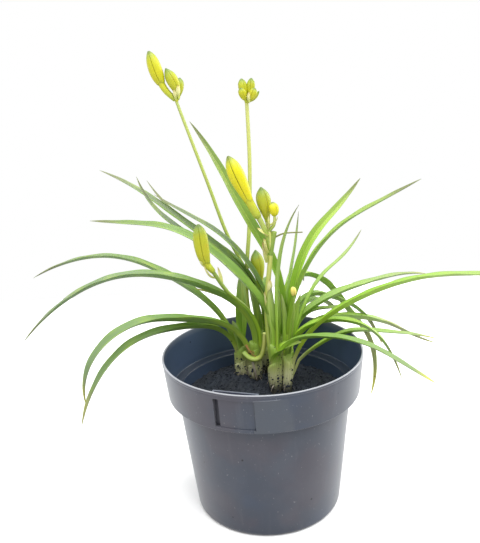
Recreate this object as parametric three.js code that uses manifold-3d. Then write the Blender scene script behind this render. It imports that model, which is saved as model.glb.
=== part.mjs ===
// Dwarf daylily in a round nursery pot: six fans of strap leaves with their flower stems,
// the buds and bud clusters, the growing mix and the pot.
// Millimetres, +Z up, +Y away from the front, origin at the middle of the pot's underside.
import * as THREE from 'three';
import Module from 'manifold-3d';
import { mergeVertices } from 'three/addons/utils/BufferGeometryUtils.js';

const wasm = await Module();
wasm.setup();

// ---- driving dimensions ----

const seatGap = 0.3; // left between two pieces that touch

const pot = {
  height: 115,
  rimRadius: 70,
  bandHeight: 27.5, // the wide collar under the rim
  bandFootRadius: 67.3,
  shoulderRadius: 61, // body just under the collar
  baseRadius: 52.2,
  baseCorner: 4,
  wall: 1.4,
  lip: 0.7, // rounding of the rim's edge
  sides: 48,
};

const drain = { count: 6, radius: 4, ring: 38, sides: 10 };

// A window pressed into the collar for a plant label: a deep groove at its left, and beside it a
// panel that lies half the wall's thickness in. Its housing stands inside the pot and has a slot
// along its top. Radii are measured square to the window's heading.
const labelRecess = {
  azimuth: -108, width: 27, bottom: 90, top: 110.5,
  grooveWidth: 3.5, grooveRadius: 63.5,
  backWall: 1.4,
  housingTop: 113.4,
  slotRadius: 66.2, slotDepth: 2,
};

// A plate raised from the collar beside the window, between two headings. It fades out upwards
// and to the right; proud is how far it stands out at even steps.
const plate = { from: -97.5, to: -75, bottom: 88.4, top: 111.5, proud: [0.6, 0.6, 0.5, 0], fade: 0.3 };

const mix = {
  level: 79,
  mound: { at: [-15, 29], height: 7.5, spread: 11 },
  crumb: 0.7,
  sides: 24,
  rings: [0, 0.2, 0.42, 0.64, 0.84, 1],
  stemClearance: 0.6,
};

// The pale stalk of folded leaf bases, from in the mix up.
const neck = { foot: 68, soil: 82, upright: 104, sides: 10 };

const blade = {
  foot: 88, // height at which a blade leaves the neck
  straight: 12, // length that stands straight before the first bend
  thickness: 0.7,
  foldAtFoot: 22, // half the angle between the two halves of the blade, degrees
  foldOpen: 60,
  openFrom: 0.65, // share of the length where it is fully open
  clasp: 0.5, // how much narrower a blade is at its foot
  fullFrom: 0.4, // share of the length where it is as wide as it gets
  leastHalf: 0.75,
  marginGap: 0.2, // kept between the two inner margins where the blade is folded tight
  taper: 4.5, // the higher, the nearer the tip a blade begins to narrow
  bractTaper: 3,
  ringSpacing: 20, // between sections, on a long blade
};

// Each fan is one grown thing. at: middle of its neck; facing: heading of the plane that its
// leaves spread in; neckWidth, neckDepth: along and across that plane; neckTop: height.
// A leaf leaves the neck at from (x, y) towards heading (0 is +X, 90 is +Y). lean lists how far
// it has bent over from upright, in degrees, at even steps from the neck to the tip. roll is how
// far its face is turned about its own length by mid-blade. A bract is a small leaf on a stem.
// sway is how far the foot of a leaning stalk stands off from under its top.
const fans = [
  {
    name: 'fan_left',
    at: [-14, 27], facing: 190, neckWidth: 10, neckDepth: 6, neckTop: 102,
    leaves: [
      { from: [-17, 26], heading: 212, length: 165, lean: [5, 75, 90, 135, 165], width: 10.5, roll: 0 },
      { from: [-17, 28], heading: 168, length: 195, lean: [5, 50, 65, 100, 120], width: 11, roll: 0 },
      { from: [-13.3, 29.6], heading: 75, length: 62, lean: [0, 8, 10], width: 12, roll: 0, taper: 3 },
      { from: [-16, 25], heading: 225, length: 30, lean: [0, 20], width: 8, roll: -20 },
    ],
    stems: [],
    bracts: [],
  },
  {
    name: 'fan_left_front',
    at: [-5, 23], facing: 195, neckWidth: 9, neckDepth: 6, neckTop: 102,
    leaves: [
      { from: [-8, 22], heading: 205, length: 175, lean: [5, 70, 80, 130, 190], width: 12.5, roll: 0 },
      {
        from: [-7, 24], heading: 192, length: 215,
        lean: [-15, 55, 75, 115, 140], width: 13.5, roll: 0, taper: 3.5,
      },
      { from: [-5, 24], heading: 190, length: 80, lean: [-20, 45, 75], width: 8, roll: -30 },
    ],
    stems: [
      {
        radius: 1.5, tipRadius: 1.4,
        route: [
          [-3, 25, 86], [-2, 26, 108], [-4, 26, 126], [-9, 25, 137],
          [-15, 23, 144], [-22, 20, 152], [-30.7, 15.8, 168],
        ],
      },
    ],
    bracts: [
      { from: [-25, 18.7, 157], heading: 140, length: 14, lean: [20, 10], width: 4.5, roll: 0 },
      { from: [-28.5, 16.8, 164], heading: 215, length: 17, lean: [85, 35, 10], width: 3.6, roll: 0 },
    ],
  },
  {
    name: 'fan_rear',
    at: [2, 38], facing: 160, neckWidth: 11, neckDepth: 8, neckTop: 104,
    leaves: [
      { from: [0, 38], heading: 160, length: 200, lean: [-25, 35, 55, 55, 70], width: 9.5, roll: 10 },
      { from: [1, 37], heading: 165, length: 170, lean: [-20, 30, 55, 55, 15], width: 8.5, roll: 10 },
      { from: [0, 39], heading: 150, length: 170, lean: [-20, 20, 60, 60, 35], width: 6, roll: 0 },
      { from: [1, 38], heading: 158, length: 160, lean: [-30, 20, 40, 65, 60], width: 7, roll: 15 },
      { from: [4, 40], heading: 88, length: 110, lean: [10, 45, 80, 110, 140], width: 9, roll: 0 },
      { from: [-1, 38], heading: 185, length: 57, lean: [0, 5, 12], width: 11, roll: -50, taper: 3 },
      { from: [5, 37], heading: -20, length: 50, lean: [0, 0, 10], width: 10, roll: -50, taper: 2 },
    ],
    stems: [
      {
        radius: 1.5, tipRadius: 1.1,
        route: [
          [1, 41, 86], [3, 46, 134], [-8, 51, 158], [-20, 53, 185],
          [-32, 55, 224], [-46, 57, 269], [-50, 58, 282],
        ],
      },
      {
        radius: 1.6, tipRadius: 1.5,
        route: [
          [-1, 41, 86], [-8, 45, 136], [-7, 46, 162], [-4, 46, 189],
          [-2, 46, 218], [-1, 46, 243], [-1, 46, 279],
        ],
      },
      { radius: 1.6, tipRadius: 1.5, route: [[5, 41, 86], [4, 46, 120], [3, 48, 144]] },
    ],
    bracts: [],
  },
  {
    name: 'fan_front',
    at: [9, 6], facing: 160, neckWidth: 8, neckDepth: 7, neckTop: 106,
    leaves: [
      { from: [6, 8], heading: 155, length: 205, lean: [-20, 40, 55, 90, 90], width: 12, roll: 15 },
      { from: [10, 5], heading: -50, length: 125, lean: [5, 0, 15, 40], width: 4, roll: 30, taper: 3 },
      {
        from: [8.5, 4], heading: -31, length: 132,
        lean: [5, 72, 90, 115, 115], width: 7.5, roll: 0, taper: 7,
      },
      { from: [7, 6], heading: 200, length: 60, lean: [-10, 10, -10], width: 10, roll: -40 },
      { from: [8, 7], heading: 170, length: 50, lean: [0, 2, 10], width: 9, roll: -50, taper: 2 },
      { from: [10, 8], heading: 20, length: 50, lean: [0, 5, 10], width: 9, roll: -60, taper: 2 },
      { from: [7.5, 4.5], heading: -30, length: 34, lean: [0, 55, 75], width: 14, roll: -25, taper: 2 },
    ],
    stems: [
      {
        radius: 1.9, tipRadius: 1.6,
        route: [
          [8, 8, 86], [5, 11, 126], [5, 10, 140], [6, 9, 155],
          [9, 8, 181], [9, 7.5, 195], [8.3, 9.6, 202.6],
        ],
      },
      { radius: 1.7, tipRadius: 1.8, route: [[9, 8, 184], [7, 7, 196], [2.3, 6, 207.4]] },
      { radius: 1.2, tipRadius: 1.1, route: [[9, 7.5, 198], [12.2, 5, 202.5], [12.8, 4, 208]] },
      { radius: 1.9, tipRadius: 1.8, route: [[9, 8, 181], [10.5, 7.5, 189], [12, 7, 196]] }, // cut stub
      { radius: 0.6, tipRadius: 0.4, route: [[12, 7, 193], [18, 7, 195.5], [30, 6, 196]] }, // dry stalk
    ],
    bracts: [
      { from: [8.5, 5, 195], heading: 182, length: 10, lean: [60, 45], width: 4.5, roll: 30 },
      { from: [7.5, 6, 183], heading: 200, length: 11, lean: [20, 10], width: 6, roll: 40 },
      { from: [7, 7.5, 152], heading: -60, length: 12, lean: [15, 0], width: 5, roll: 30 },
    ],
  },
  {
    name: 'fan_right',
    at: [19, 15], facing: 5, neckWidth: 7, neckDepth: 7, neckTop: 106, sway: [-2.3, -9.5],
    leaves: [
      {
        from: [16, 18], heading: 168, length: 185,
        lean: [-5, 5, 30, 25, 35], width: 10, roll: 60, taper: 3,
      },
      { from: [19, 17], heading: 65, length: 110, lean: [-15, 20, 35, 15], width: 6, roll: 40, taper: 3 },
      { from: [20, 15], heading: 15, length: 145, lean: [-5, 10, 20, 50, 40], width: 8.5, roll: -40 },
      { from: [20, 13], heading: -28, length: 175, lean: [-5, 15, 35, 60, 60], width: 8.5, roll: -20 },
      { from: [20, 16], heading: 42, length: 120, lean: [15, 35, 75, 45], width: 5, roll: 0 },
      { from: [21, 14], heading: -12, length: 185, lean: [20, 55, 70, 90, 95], width: 10.5, roll: 0 },
      {
        from: [22, 15], heading: 4, length: 110,
        lean: [50, 65, 100, 100, 110], width: 8, roll: 0, taper: 3,
      },
      {
        from: [20, 14], heading: -5, length: 125,
        lean: [-5, 65, 105, 150, 165], width: 10, roll: 0, taper: 3,
      },
      { from: [17, 14], heading: 170, length: 50, lean: [0, 0, 5], width: 10, roll: -60, taper: 2 },
      { from: [21, 14], heading: 10, length: 50, lean: [0, 10, 20], width: 9, roll: -60, taper: 2 },
    ],
    stems: [
      {
        radius: 0.7, tipRadius: 0.6,
        route: [[20, 12.5, 104], [21.5, 5.5, 120], [23.2, 3, 140], [23.5, 2.5, 152]],
      },
    ],
    bracts: [],
  },
  {
    name: 'fan_right_rear',
    at: [17, 29], facing: 25, neckWidth: 10, neckDepth: 8, neckTop: 104,
    leaves: [
      {
        from: [17, 30], heading: 40, length: 235,
        lean: [-15, 15, 120, 145, 135, 165, 205], width: 10, roll: 0,
      },
      { from: [18, 29], heading: 30, length: 145, lean: [10, 20, 115, 120, 145, 155], width: 10, roll: 0 },
      {
        from: [19, 27], heading: 18, length: 140,
        lean: [0, 60, 80, 85, 105], width: 12, roll: 0, taper: 3,
      },
      { from: [19, 28], heading: 26, length: 160, lean: [25, 95, 110, 125, 115], width: 12, roll: 0 },
      { from: [18, 30], heading: 45, length: 95, lean: [20, 30, 100, 130, 160], width: 10, roll: 0 },
      { from: [19, 27], heading: 14, length: 65, lean: [15, 25, 95, 90], width: 8, roll: 0 },
      { from: [16, 31], heading: 75, length: 130, lean: [10, 50, 80, 110, 140], width: 9, roll: 0 },
      { from: [15, 29], heading: 100, length: 50, lean: [0, 5, 10], width: 10, roll: 0, taper: 2 },
    ],
    stems: [],
    bracts: [],
  },
];

// A bud is a spindle of folded petals on a slim tube, from its foot to its tip. width is the
// spindle's, tubeWidth the tube's, and petalsFrom the share of the length where petals begin.
// A high belly sets the broadest place nearer the tip; a low pointedness makes a blunt bud.
// The buds of one cluster are joined at their feet by a small knob.
const buds = [
  {
    name: 'buds_left', knob: { at: [-50.2, 58, 284], radius: 1.5 },
    buds: [
      {
        foot: [-51, 58, 284], bend: [-58.5, 58, 293], tip: [-67, 58, 318],
        width: 8.6, tubeWidth: 3.6, petalsFrom: 0.38,
      },
      {
        foot: [-50, 58, 284], bend: [-49.5, 57.5, 290], tip: [-56, 57, 306],
        width: 8, tubeWidth: 2.8, petalsFrom: 0.18,
      },
      {
        foot: [-49.5, 58.5, 284], bend: [-48, 60, 289], tip: [-47, 62, 299],
        width: 6.2, tubeWidth: 2.6, petalsFrom: 0.2, pointedness: 0.55,
      },
    ],
  },
  {
    name: 'buds_centre', knob: { at: [-1, 46, 281], radius: 1.6 },
    buds: [
      {
        foot: [-1, 46, 281], bend: [-2.6, 46, 286], tip: [-4, 47, 296.5],
        width: 6.2, tubeWidth: 2.6, petalsFrom: 0.2, pointedness: 0.5,
      },
      {
        foot: [-1, 46, 281], bend: [1.5, 47, 286], tip: [3, 48, 296.5],
        width: 5.8, tubeWidth: 2.6, petalsFrom: 0.2, pointedness: 0.5,
      },
      {
        foot: [-1, 45.5, 281], bend: [-3, 43.5, 284.5], tip: [-5, 42, 290.5],
        width: 5.4, tubeWidth: 2.4, petalsFrom: 0.2, pointedness: 0.5,
      },
      {
        foot: [-1, 45.5, 281], bend: [2, 44, 283.5], tip: [5, 43, 290],
        width: 5.6, tubeWidth: 2.4, petalsFrom: 0.2, pointedness: 0.5,
      },
      {
        foot: [-0.5, 46, 280.5], bend: [4, 47, 282.5], tip: [8, 47.5, 287.5],
        width: 2.2, tubeWidth: 1.6, petalsFrom: 0.2,
      },
    ],
  },
  {
    name: 'bud_largest',
    buds: [{
      foot: [2.1, 6, 207.8], bend: [-3, 5, 218], tip: [-16, 3, 250],
      width: 10.8, tubeWidth: 5.6, petalsFrom: 0.28,
    }],
  },
  {
    name: 'bud_olive',
    buds: [{
      foot: [8.3, 9.9, 203.2], bend: [7.4, 10.3, 208.4], tip: [4.6, 10, 227.4],
      width: 9.8, tubeWidth: 3.6, petalsFrom: 0.1,
    }],
  },
  {
    name: 'bud_round',
    buds: [{
      foot: [12.8, 4, 208.8], bend: [12.5, 4, 211.8], tip: [11.6, 4, 218.1],
      width: 6.8, tubeWidth: 2.8, petalsFrom: 0.05, belly: 1.1, pointedness: 0.5,
    }],
  },
  {
    name: 'bud_low_left',
    buds: [{
      foot: [-31, 15.6, 169], bend: [-35.7, 15.5, 176.2], tip: [-39.2, 15.5, 203.2],
      width: 10.4, tubeWidth: 5.4, petalsFrom: 0.2, pointedness: 0.4,
    }],
  },
  {
    name: 'bud_low_rear',
    buds: [{
      foot: [3, 48.2, 144.7], bend: [2.2, 48.4, 148], tip: [0, 49, 173.6],
      width: 10.2, tubeWidth: 3.6, petalsFrom: 0.1,
    }],
  },
  {
    name: 'bud_smallest',
    buds: [{
      foot: [23.5, 2.5, 152.5], bend: [23.5, 2.5, 154], tip: [23.1, 2.5, 159],
      width: 4.2, tubeWidth: 1.8, petalsFrom: 0.05, belly: 1, pointedness: 0.5,
    }],
  },
];

const budShape = { sides: 8, steps: 9, lobe: 0.07, belly: 1.4, pointedness: 0.7 };

// ---- small helpers ----

const radians = THREE.MathUtils.degToRad;
const lerp = THREE.MathUtils.lerp;
const pointAt = (degrees, radius, height) => new THREE.Vector3(
  Math.cos(radians(degrees)) * radius,
  Math.sin(radians(degrees)) * radius,
  height,
);
const flatDirection = (degrees) => pointAt(degrees, 1, 0);

// Reads a list of values set at even steps from 0 to 1.
function evenSteps(values, t) {
  const place = Math.min(Math.max(t, 0), 1) * (values.length - 1);
  const before = Math.min(Math.floor(place), values.length - 2);
  return lerp(values[before], values[before + 1], place - before);
}

function toSolid(geometry) {
  const bare = geometry.clone();
  bare.deleteAttribute('normal');
  bare.deleteAttribute('uv');
  const merged = mergeVertices(bare, 1e-4);
  return new wasm.Manifold(new wasm.Mesh({
    numProp: 3,
    vertProperties: new Float32Array(merged.attributes.position.array),
    triVerts: new Uint32Array(merged.index.array),
  }));
}

function toGeometry(solid) {
  const mesh = solid.getMesh();
  const geometry = new THREE.BufferGeometry();
  geometry.setAttribute('position', new THREE.BufferAttribute(new Float32Array(mesh.vertProperties), 3));
  geometry.setIndex(new THREE.BufferAttribute(new Uint32Array(mesh.triVerts), 1));
  return geometry;
}

const join = (solids) => solids.reduce((whole, piece) => whole.add(piece));

// Fills the closed hollows that are left where leaf bases meet.
const filled = (solid) => join(solid.decompose().filter((piece) => piece.volume() > 1));

// Closed skin over rings that all have the same number of points, in the same order round.
// Strips from mirrorFrom on are split along the other diagonal, so that both faces of a thin
// blade are split alike. The last ring closes on apex, or flat where none is given.
function loft(rings, apex = null, mirrorFrom = Infinity) {
  const count = rings[0].length;
  const positions = [];
  rings.forEach((ring) => ring.forEach((point) => positions.push(point.x, point.y, point.z)));
  const middle = (ring) => ring
    .reduce((sum, point) => sum.add(point), new THREE.Vector3())
    .divideScalar(count);
  const startCap = middle(rings[0]);
  const endCap = apex ?? middle(rings[rings.length - 1]);
  positions.push(startCap.x, startCap.y, startCap.z, endCap.x, endCap.y, endCap.z);
  const startIndex = rings.length * count;
  const endIndex = startIndex + 1;
  const faces = [];
  for (let row = 0; row < rings.length - 1; row += 1) {
    for (let side = 0; side < count; side += 1) {
      const a = row * count + side;
      const b = row * count + (side + 1) % count;
      const c = b + count;
      const d = a + count;
      if (side < mirrorFrom) faces.push(a, b, c, a, c, d);
      else faces.push(a, b, d, b, c, d);
    }
  }
  const last = (rings.length - 1) * count;
  for (let side = 0; side < count; side += 1) {
    const next = (side + 1) % count;
    faces.push(startIndex, next, side);
    faces.push(endIndex, last + side, last + next);
  }
  const geometry = new THREE.BufferGeometry();
  geometry.setAttribute('position', new THREE.Float32BufferAttribute(positions, 3));
  geometry.setIndex(faces);
  return geometry;
}

// A rod along a smooth route. radiusAt gives its radius for the share of the length t and the
// angle round it.
function rodSolid(points, radiusAt, sides, steps) {
  const route = points.map((point) => new THREE.Vector3(...point));
  const curve = new THREE.CatmullRomCurve3(route, false, 'centripetal');
  const rings = [];
  let side = new THREE.Vector3(0, 1, 0);
  for (let step = 0; step <= steps; step += 1) {
    const t = step / steps;
    const centre = curve.getPointAt(t);
    const along = curve.getTangentAt(t);
    side = side.clone().addScaledVector(along, -side.dot(along)).normalize();
    const across = new THREE.Vector3().crossVectors(along, side);
    rings.push(Array.from({ length: sides }, (_, index) => {
      const turn = (index / sides) * Math.PI * 2;
      const radius = radiusAt(t, turn);
      return centre.clone()
        .addScaledVector(side, Math.cos(turn) * radius)
        .addScaledVector(across, Math.sin(turn) * radius);
    }));
  }
  return toSolid(loft(rings));
}

// How far a leaning stalk stands off at a height: fully at the soil, not at all at its top.
function swayAt(fan, height) {
  const share = (neck.upright - height) / (neck.upright - neck.soil);
  const [x, y] = fan.sway ?? [0, 0];
  return new THREE.Vector3(x, y, 0).multiplyScalar(Math.min(Math.max(share, 0), 1));
}

// ---- leaves ----

// Stations along a leaf: where it is, its side and the normal of its upper face.
function leafStations(leaf, straight, fan) {
  const steps = Math.max(2 * leaf.lean.length - 2, Math.round(leaf.length / blade.ringSpacing));
  const outward = flatDirection(leaf.heading);
  const side = flatDirection(leaf.heading - 90);
  const along = (lean) => outward.clone()
    .multiplyScalar(Math.sin(radians(lean)))
    .setZ(Math.cos(radians(lean)));
  const place = new THREE.Vector3(leaf.from[0], leaf.from[1], leaf.from[2] ?? blade.foot);
  const stations = [];
  const add = (t, lean) => {
    const normal = new THREE.Vector3().crossVectors(side, along(lean));
    const roll = radians(leaf.roll) * Math.min(1, t * 2);
    stations.push({
      t,
      place: place.clone().addScaledVector(swayAt(fan, place.z), Math.max(0, 1 - t * 8)),
      side: side.clone().multiplyScalar(Math.cos(roll)).addScaledVector(normal, Math.sin(roll)),
      up: normal.clone().multiplyScalar(Math.cos(roll)).addScaledVector(side, -Math.sin(roll)),
    });
  };
  if (straight > 0) {
    add(0, 0);
    place.addScaledVector(along(leaf.lean[0] / 2), straight);
  }
  const chords = 8; // between two stations
  for (let step = 0; step <= steps; step += 1) {
    const t = step / steps;
    add(t, evenSteps(leaf.lean, t));
    for (let chord = 0; chord < chords && step < steps; chord += 1) {
      const middle = (step + (chord + 0.5) / chords) / steps;
      place.addScaledVector(along(evenSteps(leaf.lean, middle)), leaf.length / steps / chords);
    }
  }
  return stations;
}

const bladeFold = (t) => radians(lerp(blade.foldAtFoot, blade.foldOpen, Math.min(1, t / blade.openFrom)));

// A blade is a little narrower where it leaves the neck, even along the middle, and tapers to a
// long point.
function bladeHalfWidth(leaf, t, fold) {
  const swell = lerp(blade.clasp, 1, Math.min(1, t / blade.fullFrom));
  const taper = (1 - t ** (leaf.taper ?? blade.taper)) ** 0.7;
  const apart = (blade.thickness * Math.cos(fold) + blade.marginGap) / Math.sin(fold);
  return Math.max(blade.leastHalf, apart, leaf.width / 2 * swell * taper);
}

// The blade's section is an open V: keel below, both halves of one thickness.
function bladeSolid(leaf, fan, straight = blade.straight) {
  const stations = leafStations(leaf, straight, fan);
  const tip = stations.pop();
  const rings = stations.map(({ t, place, side, up }) => {
    const fold = bladeFold(t);
    const half = bladeHalfWidth(leaf, t, fold);
    const reach = half * Math.sin(fold);
    const rise = half * Math.cos(fold);
    const inward = blade.thickness * Math.cos(fold);
    const upward = blade.thickness * Math.sin(fold);
    const section = [
      [-reach + inward, rise + upward],
      [0, blade.thickness / Math.sin(fold)],
      [reach - inward, rise + upward],
      [reach, rise],
      [0, 0],
      [-reach, rise],
    ];
    const lift = (u) => u - rise / 2;
    return section.map(([s, u]) => place.clone().addScaledVector(side, s).addScaledVector(up, lift(u)));
  });
  return toSolid(loft(rings, tip.place, 3));
}

// ---- fans ----

// The neck is a flattened stalk that widens a little upwards and closes in among the leaves.
const neckRise = [0, 0.4, 0.62, 0.82, 0.94, 1];
const neckSwell = [0.86, 0.9, 1, 0.94, 0.74, 0.4];

function neckSolid(fan) {
  const wide = flatDirection(fan.facing);
  const deep = flatDirection(fan.facing + 90);
  const rings = neckRise.map((rise, index) => Array.from({ length: neck.sides }, (_, corner) => {
    const turn = (corner / neck.sides) * Math.PI * 2;
    const height = lerp(neck.foot, fan.neckTop, rise);
    return new THREE.Vector3(fan.at[0], fan.at[1], height)
      .add(swayAt(fan, height))
      .addScaledVector(wide, Math.cos(turn) * neckSwell[index] * fan.neckWidth / 2)
      .addScaledVector(deep, Math.sin(turn) * neckSwell[index] * fan.neckDepth / 2);
  }));
  return toSolid(loft(rings));
}

function stemSolid(stem) {
  const sides = stem.radius > 1 ? 7 : 5;
  const steps = stem.route.length > 2 ? stem.route.length + 3 : 2;
  return rodSolid(stem.route, (t) => lerp(stem.radius, stem.tipRadius, t), sides, steps);
}

function fanSolid(fan) {
  return filled(join([
    neckSolid(fan),
    ...fan.leaves.map((leaf) => bladeSolid(leaf, fan)),
    ...fan.stems.map(stemSolid),
    ...fan.bracts.map((bract) => bladeSolid({ ...bract, taper: blade.bractTaper }, fan, 0)),
  ]));
}

// ---- buds ----

// Slim tube, then a spindle with three petal folds running up it.
function budSolid(bud) {
  const radiusAt = (t, turn) => {
    const petal = Math.max(0, (t - bud.petalsFrom) / (1 - bud.petalsFrom));
    const rise = Math.sin(Math.PI * Math.pow(petal, bud.belly ?? budShape.belly));
    const shape = Math.max(0, rise) ** (bud.pointedness ?? budShape.pointedness);
    const round = lerp(bud.tubeWidth / 2, bud.width / 2, shape) * (1 - 0.75 * petal ** 9);
    return round * (1 + budShape.lobe * shape * Math.cos(turn * 3));
  };
  return rodSolid([bud.foot, bud.bend, bud.tip], radiusAt, budShape.sides, budShape.steps);
}

function knobSolid(knob) {
  const ball = new THREE.SphereGeometry(knob.radius, 8, 5).rotateX(Math.PI / 2).translate(...knob.at);
  return toSolid(ball);
}

function budClusterSolid(cluster) {
  const knobs = cluster.knob ? [knobSolid(cluster.knob)] : [];
  return filled(join([...knobs, ...cluster.buds.map(budSolid)]));
}

// ---- pot ----

// A thin pressed shell: slightly tapered body, wide collar, rounded rim.
function potShell() {
  const { wall, lip } = pot;
  const ledge = pot.height - pot.bandHeight;
  const corner = radians(30);
  const profile = [
    [0, 0],
    [pot.baseRadius - pot.baseCorner, 0],
    [pot.baseRadius - pot.baseCorner * (1 - Math.sin(corner)), pot.baseCorner * (1 - Math.cos(corner))],
    [pot.baseRadius, pot.baseCorner],
    [pot.shoulderRadius, ledge - 1],
    [pot.bandFootRadius - 0.8, ledge],
    [pot.bandFootRadius, ledge + 0.8],
    [pot.rimRadius, pot.height - lip],
    [pot.rimRadius - lip * 0.3, pot.height],
    [pot.rimRadius - wall, pot.height],
    [pot.bandFootRadius - wall, ledge + wall],
    [pot.shoulderRadius - wall, ledge + wall - 1],
    [pot.baseRadius - wall, pot.baseCorner],
    [pot.baseRadius - pot.baseCorner, wall],
    [0, wall],
  ];
  const points = profile.map(([radius, height]) => new THREE.Vector2(radius, height));
  return toSolid(new THREE.LatheGeometry(points, pot.sides).rotateX(Math.PI / 2));
}

// Everything inside the middle of the collar's wall.
function collarCore() {
  const outline = [
    [0, pot.height - pot.bandHeight],
    [pot.bandFootRadius - pot.wall / 2, pot.height - pot.bandHeight],
    [pot.rimRadius - pot.wall / 2, pot.height],
    [0, pot.height],
  ];
  const points = outline.map(([radius, height]) => new THREE.Vector2(radius, height));
  return toSolid(new THREE.LatheGeometry(points, pot.sides).rotateX(Math.PI / 2));
}

// A box square to the window's heading: from and to are measured from the pot's axis, left and
// right across the heading.
function recessBox([from, to], [left, right], [bottom, top]) {
  const box = new THREE.BoxGeometry(to - from, right - left, top - bottom);
  box.translate((from + to) / 2, (left + right) / 2, (bottom + top) / 2);
  return toSolid(box.rotateZ(radians(labelRecess.azimuth)));
}

function housingSolid() {
  const { grooveRadius, width, bottom, backWall, housingTop } = labelRecess;
  const reach = width / 2 + backWall;
  const block = recessBox(
    [grooveRadius - backWall, pot.rimRadius],
    [-reach, reach],
    [bottom - backWall, housingTop],
  );
  return block.intersect(collarCore());
}

function housingHollows() {
  const { grooveRadius, slotRadius, width, grooveWidth, bottom, top, housingTop, slotDepth } = labelRecess;
  const outside = pot.rimRadius + 1;
  const half = width / 2;
  const groove = recessBox([grooveRadius, outside], [-half, grooveWidth - half], [bottom, top]);
  const window = recessBox([grooveRadius, outside], [-half, half], [bottom, top]);
  const slotFloor = housingTop - slotDepth;
  const slot = recessBox([grooveRadius, slotRadius], [-half, half], [slotFloor, housingTop + 1]);
  return [groove, window.subtract(collarCore()), slot];
}

// The outer radius of the collar at a height.
function collarRadius(height) {
  const foot = pot.height - pot.bandHeight;
  return lerp(pot.bandFootRadius, pot.rimRadius, (height - foot) / pot.bandHeight);
}

function plateSolid() {
  const steps = plate.proud.length - 1;
  const rings = plate.proud.map((proud, index) => {
    const heading = lerp(plate.from, plate.to, index / steps);
    return [
      [collarRadius(plate.top) + proud * plate.fade, plate.top],
      [collarRadius(plate.bottom) + proud, plate.bottom],
      [collarRadius(plate.bottom) - pot.wall / 2, plate.bottom],
      [collarRadius(plate.top) - pot.wall / 2, plate.top],
    ].map(([radius, height]) => pointAt(heading, radius, height));
  });
  return toSolid(loft(rings));
}

function drainHole(index) {
  const hole = new THREE.CylinderGeometry(drain.radius, drain.radius, pot.wall * 4, drain.sides);
  const centre = pointAt((index / drain.count) * 360, drain.ring, 0);
  return toSolid(hole.rotateX(Math.PI / 2).translate(...centre));
}

function potSolid() {
  const whole = join([potShell(), housingSolid(), plateSolid()]);
  const holes = Array.from({ length: drain.count }, (_, index) => drainHole(index));
  return [...housingHollows(), ...holes].reduce((shell, hole) => shell.subtract(hole), whole);
}

// ---- growing mix ----

function mixHeight(x, y) {
  const { at, height, spread } = mix.mound;
  const mound = height * Math.exp(-((x - at[0]) ** 2 + (y - at[1]) ** 2) / (2 * spread ** 2));
  const lumps = Math.sin(x * 0.61 + y * 0.23) * Math.cos(y * 0.47 - x * 0.19);
  const crumbs = 0.6 * Math.sin(x * 1.3 - y * 1.1);
  return mix.level + mound + mix.crumb * (lumps + crumbs);
}

// The pot's inner radius at a height below the collar.
function innerRadius(height) {
  const share = (height - pot.baseCorner) / (pot.height - pot.bandHeight - 1 - pot.baseCorner);
  return lerp(pot.baseRadius, pot.shoulderRadius, share) - pot.wall;
}

function mixBlock() {
  const foot = pot.wall + seatGap;
  const topEdge = innerRadius(mix.level - 3) - seatGap;
  const ring = (radius, heightAt) => Array.from({ length: mix.sides }, (_, index) => {
    const point = pointAt((index / mix.sides) * 360, radius, 0);
    return point.setZ(heightAt(point.x, point.y));
  });
  const footRing = ring(pot.baseRadius - pot.baseCorner - 1, () => foot);
  const sideRing = ring(innerRadius(pot.baseCorner + 2) - seatGap - 0.3, () => pot.baseCorner + 2);
  const edgeRing = ring(topEdge, () => mix.level - 3);
  const surface = mix.rings.slice(1).reverse().map((share) => ring(share * topEdge, mixHeight));
  const crown = new THREE.Vector3(0, 0, mixHeight(0, 0));
  return toSolid(loft([footRing, sideRing, edgeRing, ...surface], crown));
}

// Each neck stands in a plain hole of its own outline.
function neckHole(fan) {
  const depth = 60;
  const hole = new THREE.CylinderGeometry(1, 1, depth, 16).rotateX(Math.PI / 2);
  hole.scale(fan.neckWidth / 2 + mix.stemClearance, fan.neckDepth / 2 + mix.stemClearance, 1);
  hole.rotateZ(radians(fan.facing));
  const foot = swayAt(fan, 0);
  return toSolid(hole.translate(fan.at[0] + foot.x, fan.at[1] + foot.y, neck.foot - seatGap + depth / 2));
}

const mixSolid = () => fans.reduce((block, fan) => block.subtract(neckHole(fan)), mixBlock());

// ---- assembly ----

const finishes = {
  leaf: new THREE.MeshStandardMaterial({ color: 0x6f9c34, roughness: 0.5, metalness: 0 }),
  bud: new THREE.MeshStandardMaterial({ color: 0xd8d222, roughness: 0.5, metalness: 0 }),
  pot: new THREE.MeshStandardMaterial({ color: 0x5d6270, roughness: 0.4, metalness: 0 }),
  mix: new THREE.MeshStandardMaterial({ color: 0x23262b, roughness: 1, metalness: 0 }),
};

const plant = new THREE.Group();

function addPart(name, solid, finish) {
  const mesh = new THREE.Mesh(toGeometry(solid), finish);
  mesh.name = name;
  plant.add(mesh);
}

addPart('pot', potSolid(), finishes.pot);
addPart('growing_mix', mixSolid(), finishes.mix);
fans.forEach((fan) => addPart(fan.name, fanSolid(fan), finishes.leaf));
buds.forEach((cluster) => addPart(cluster.name, budClusterSolid(cluster), finishes.bud));

export default plant;
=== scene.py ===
import math
import random

import bmesh
import bpy
from mathutils import Matrix, Vector, noise


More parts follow.
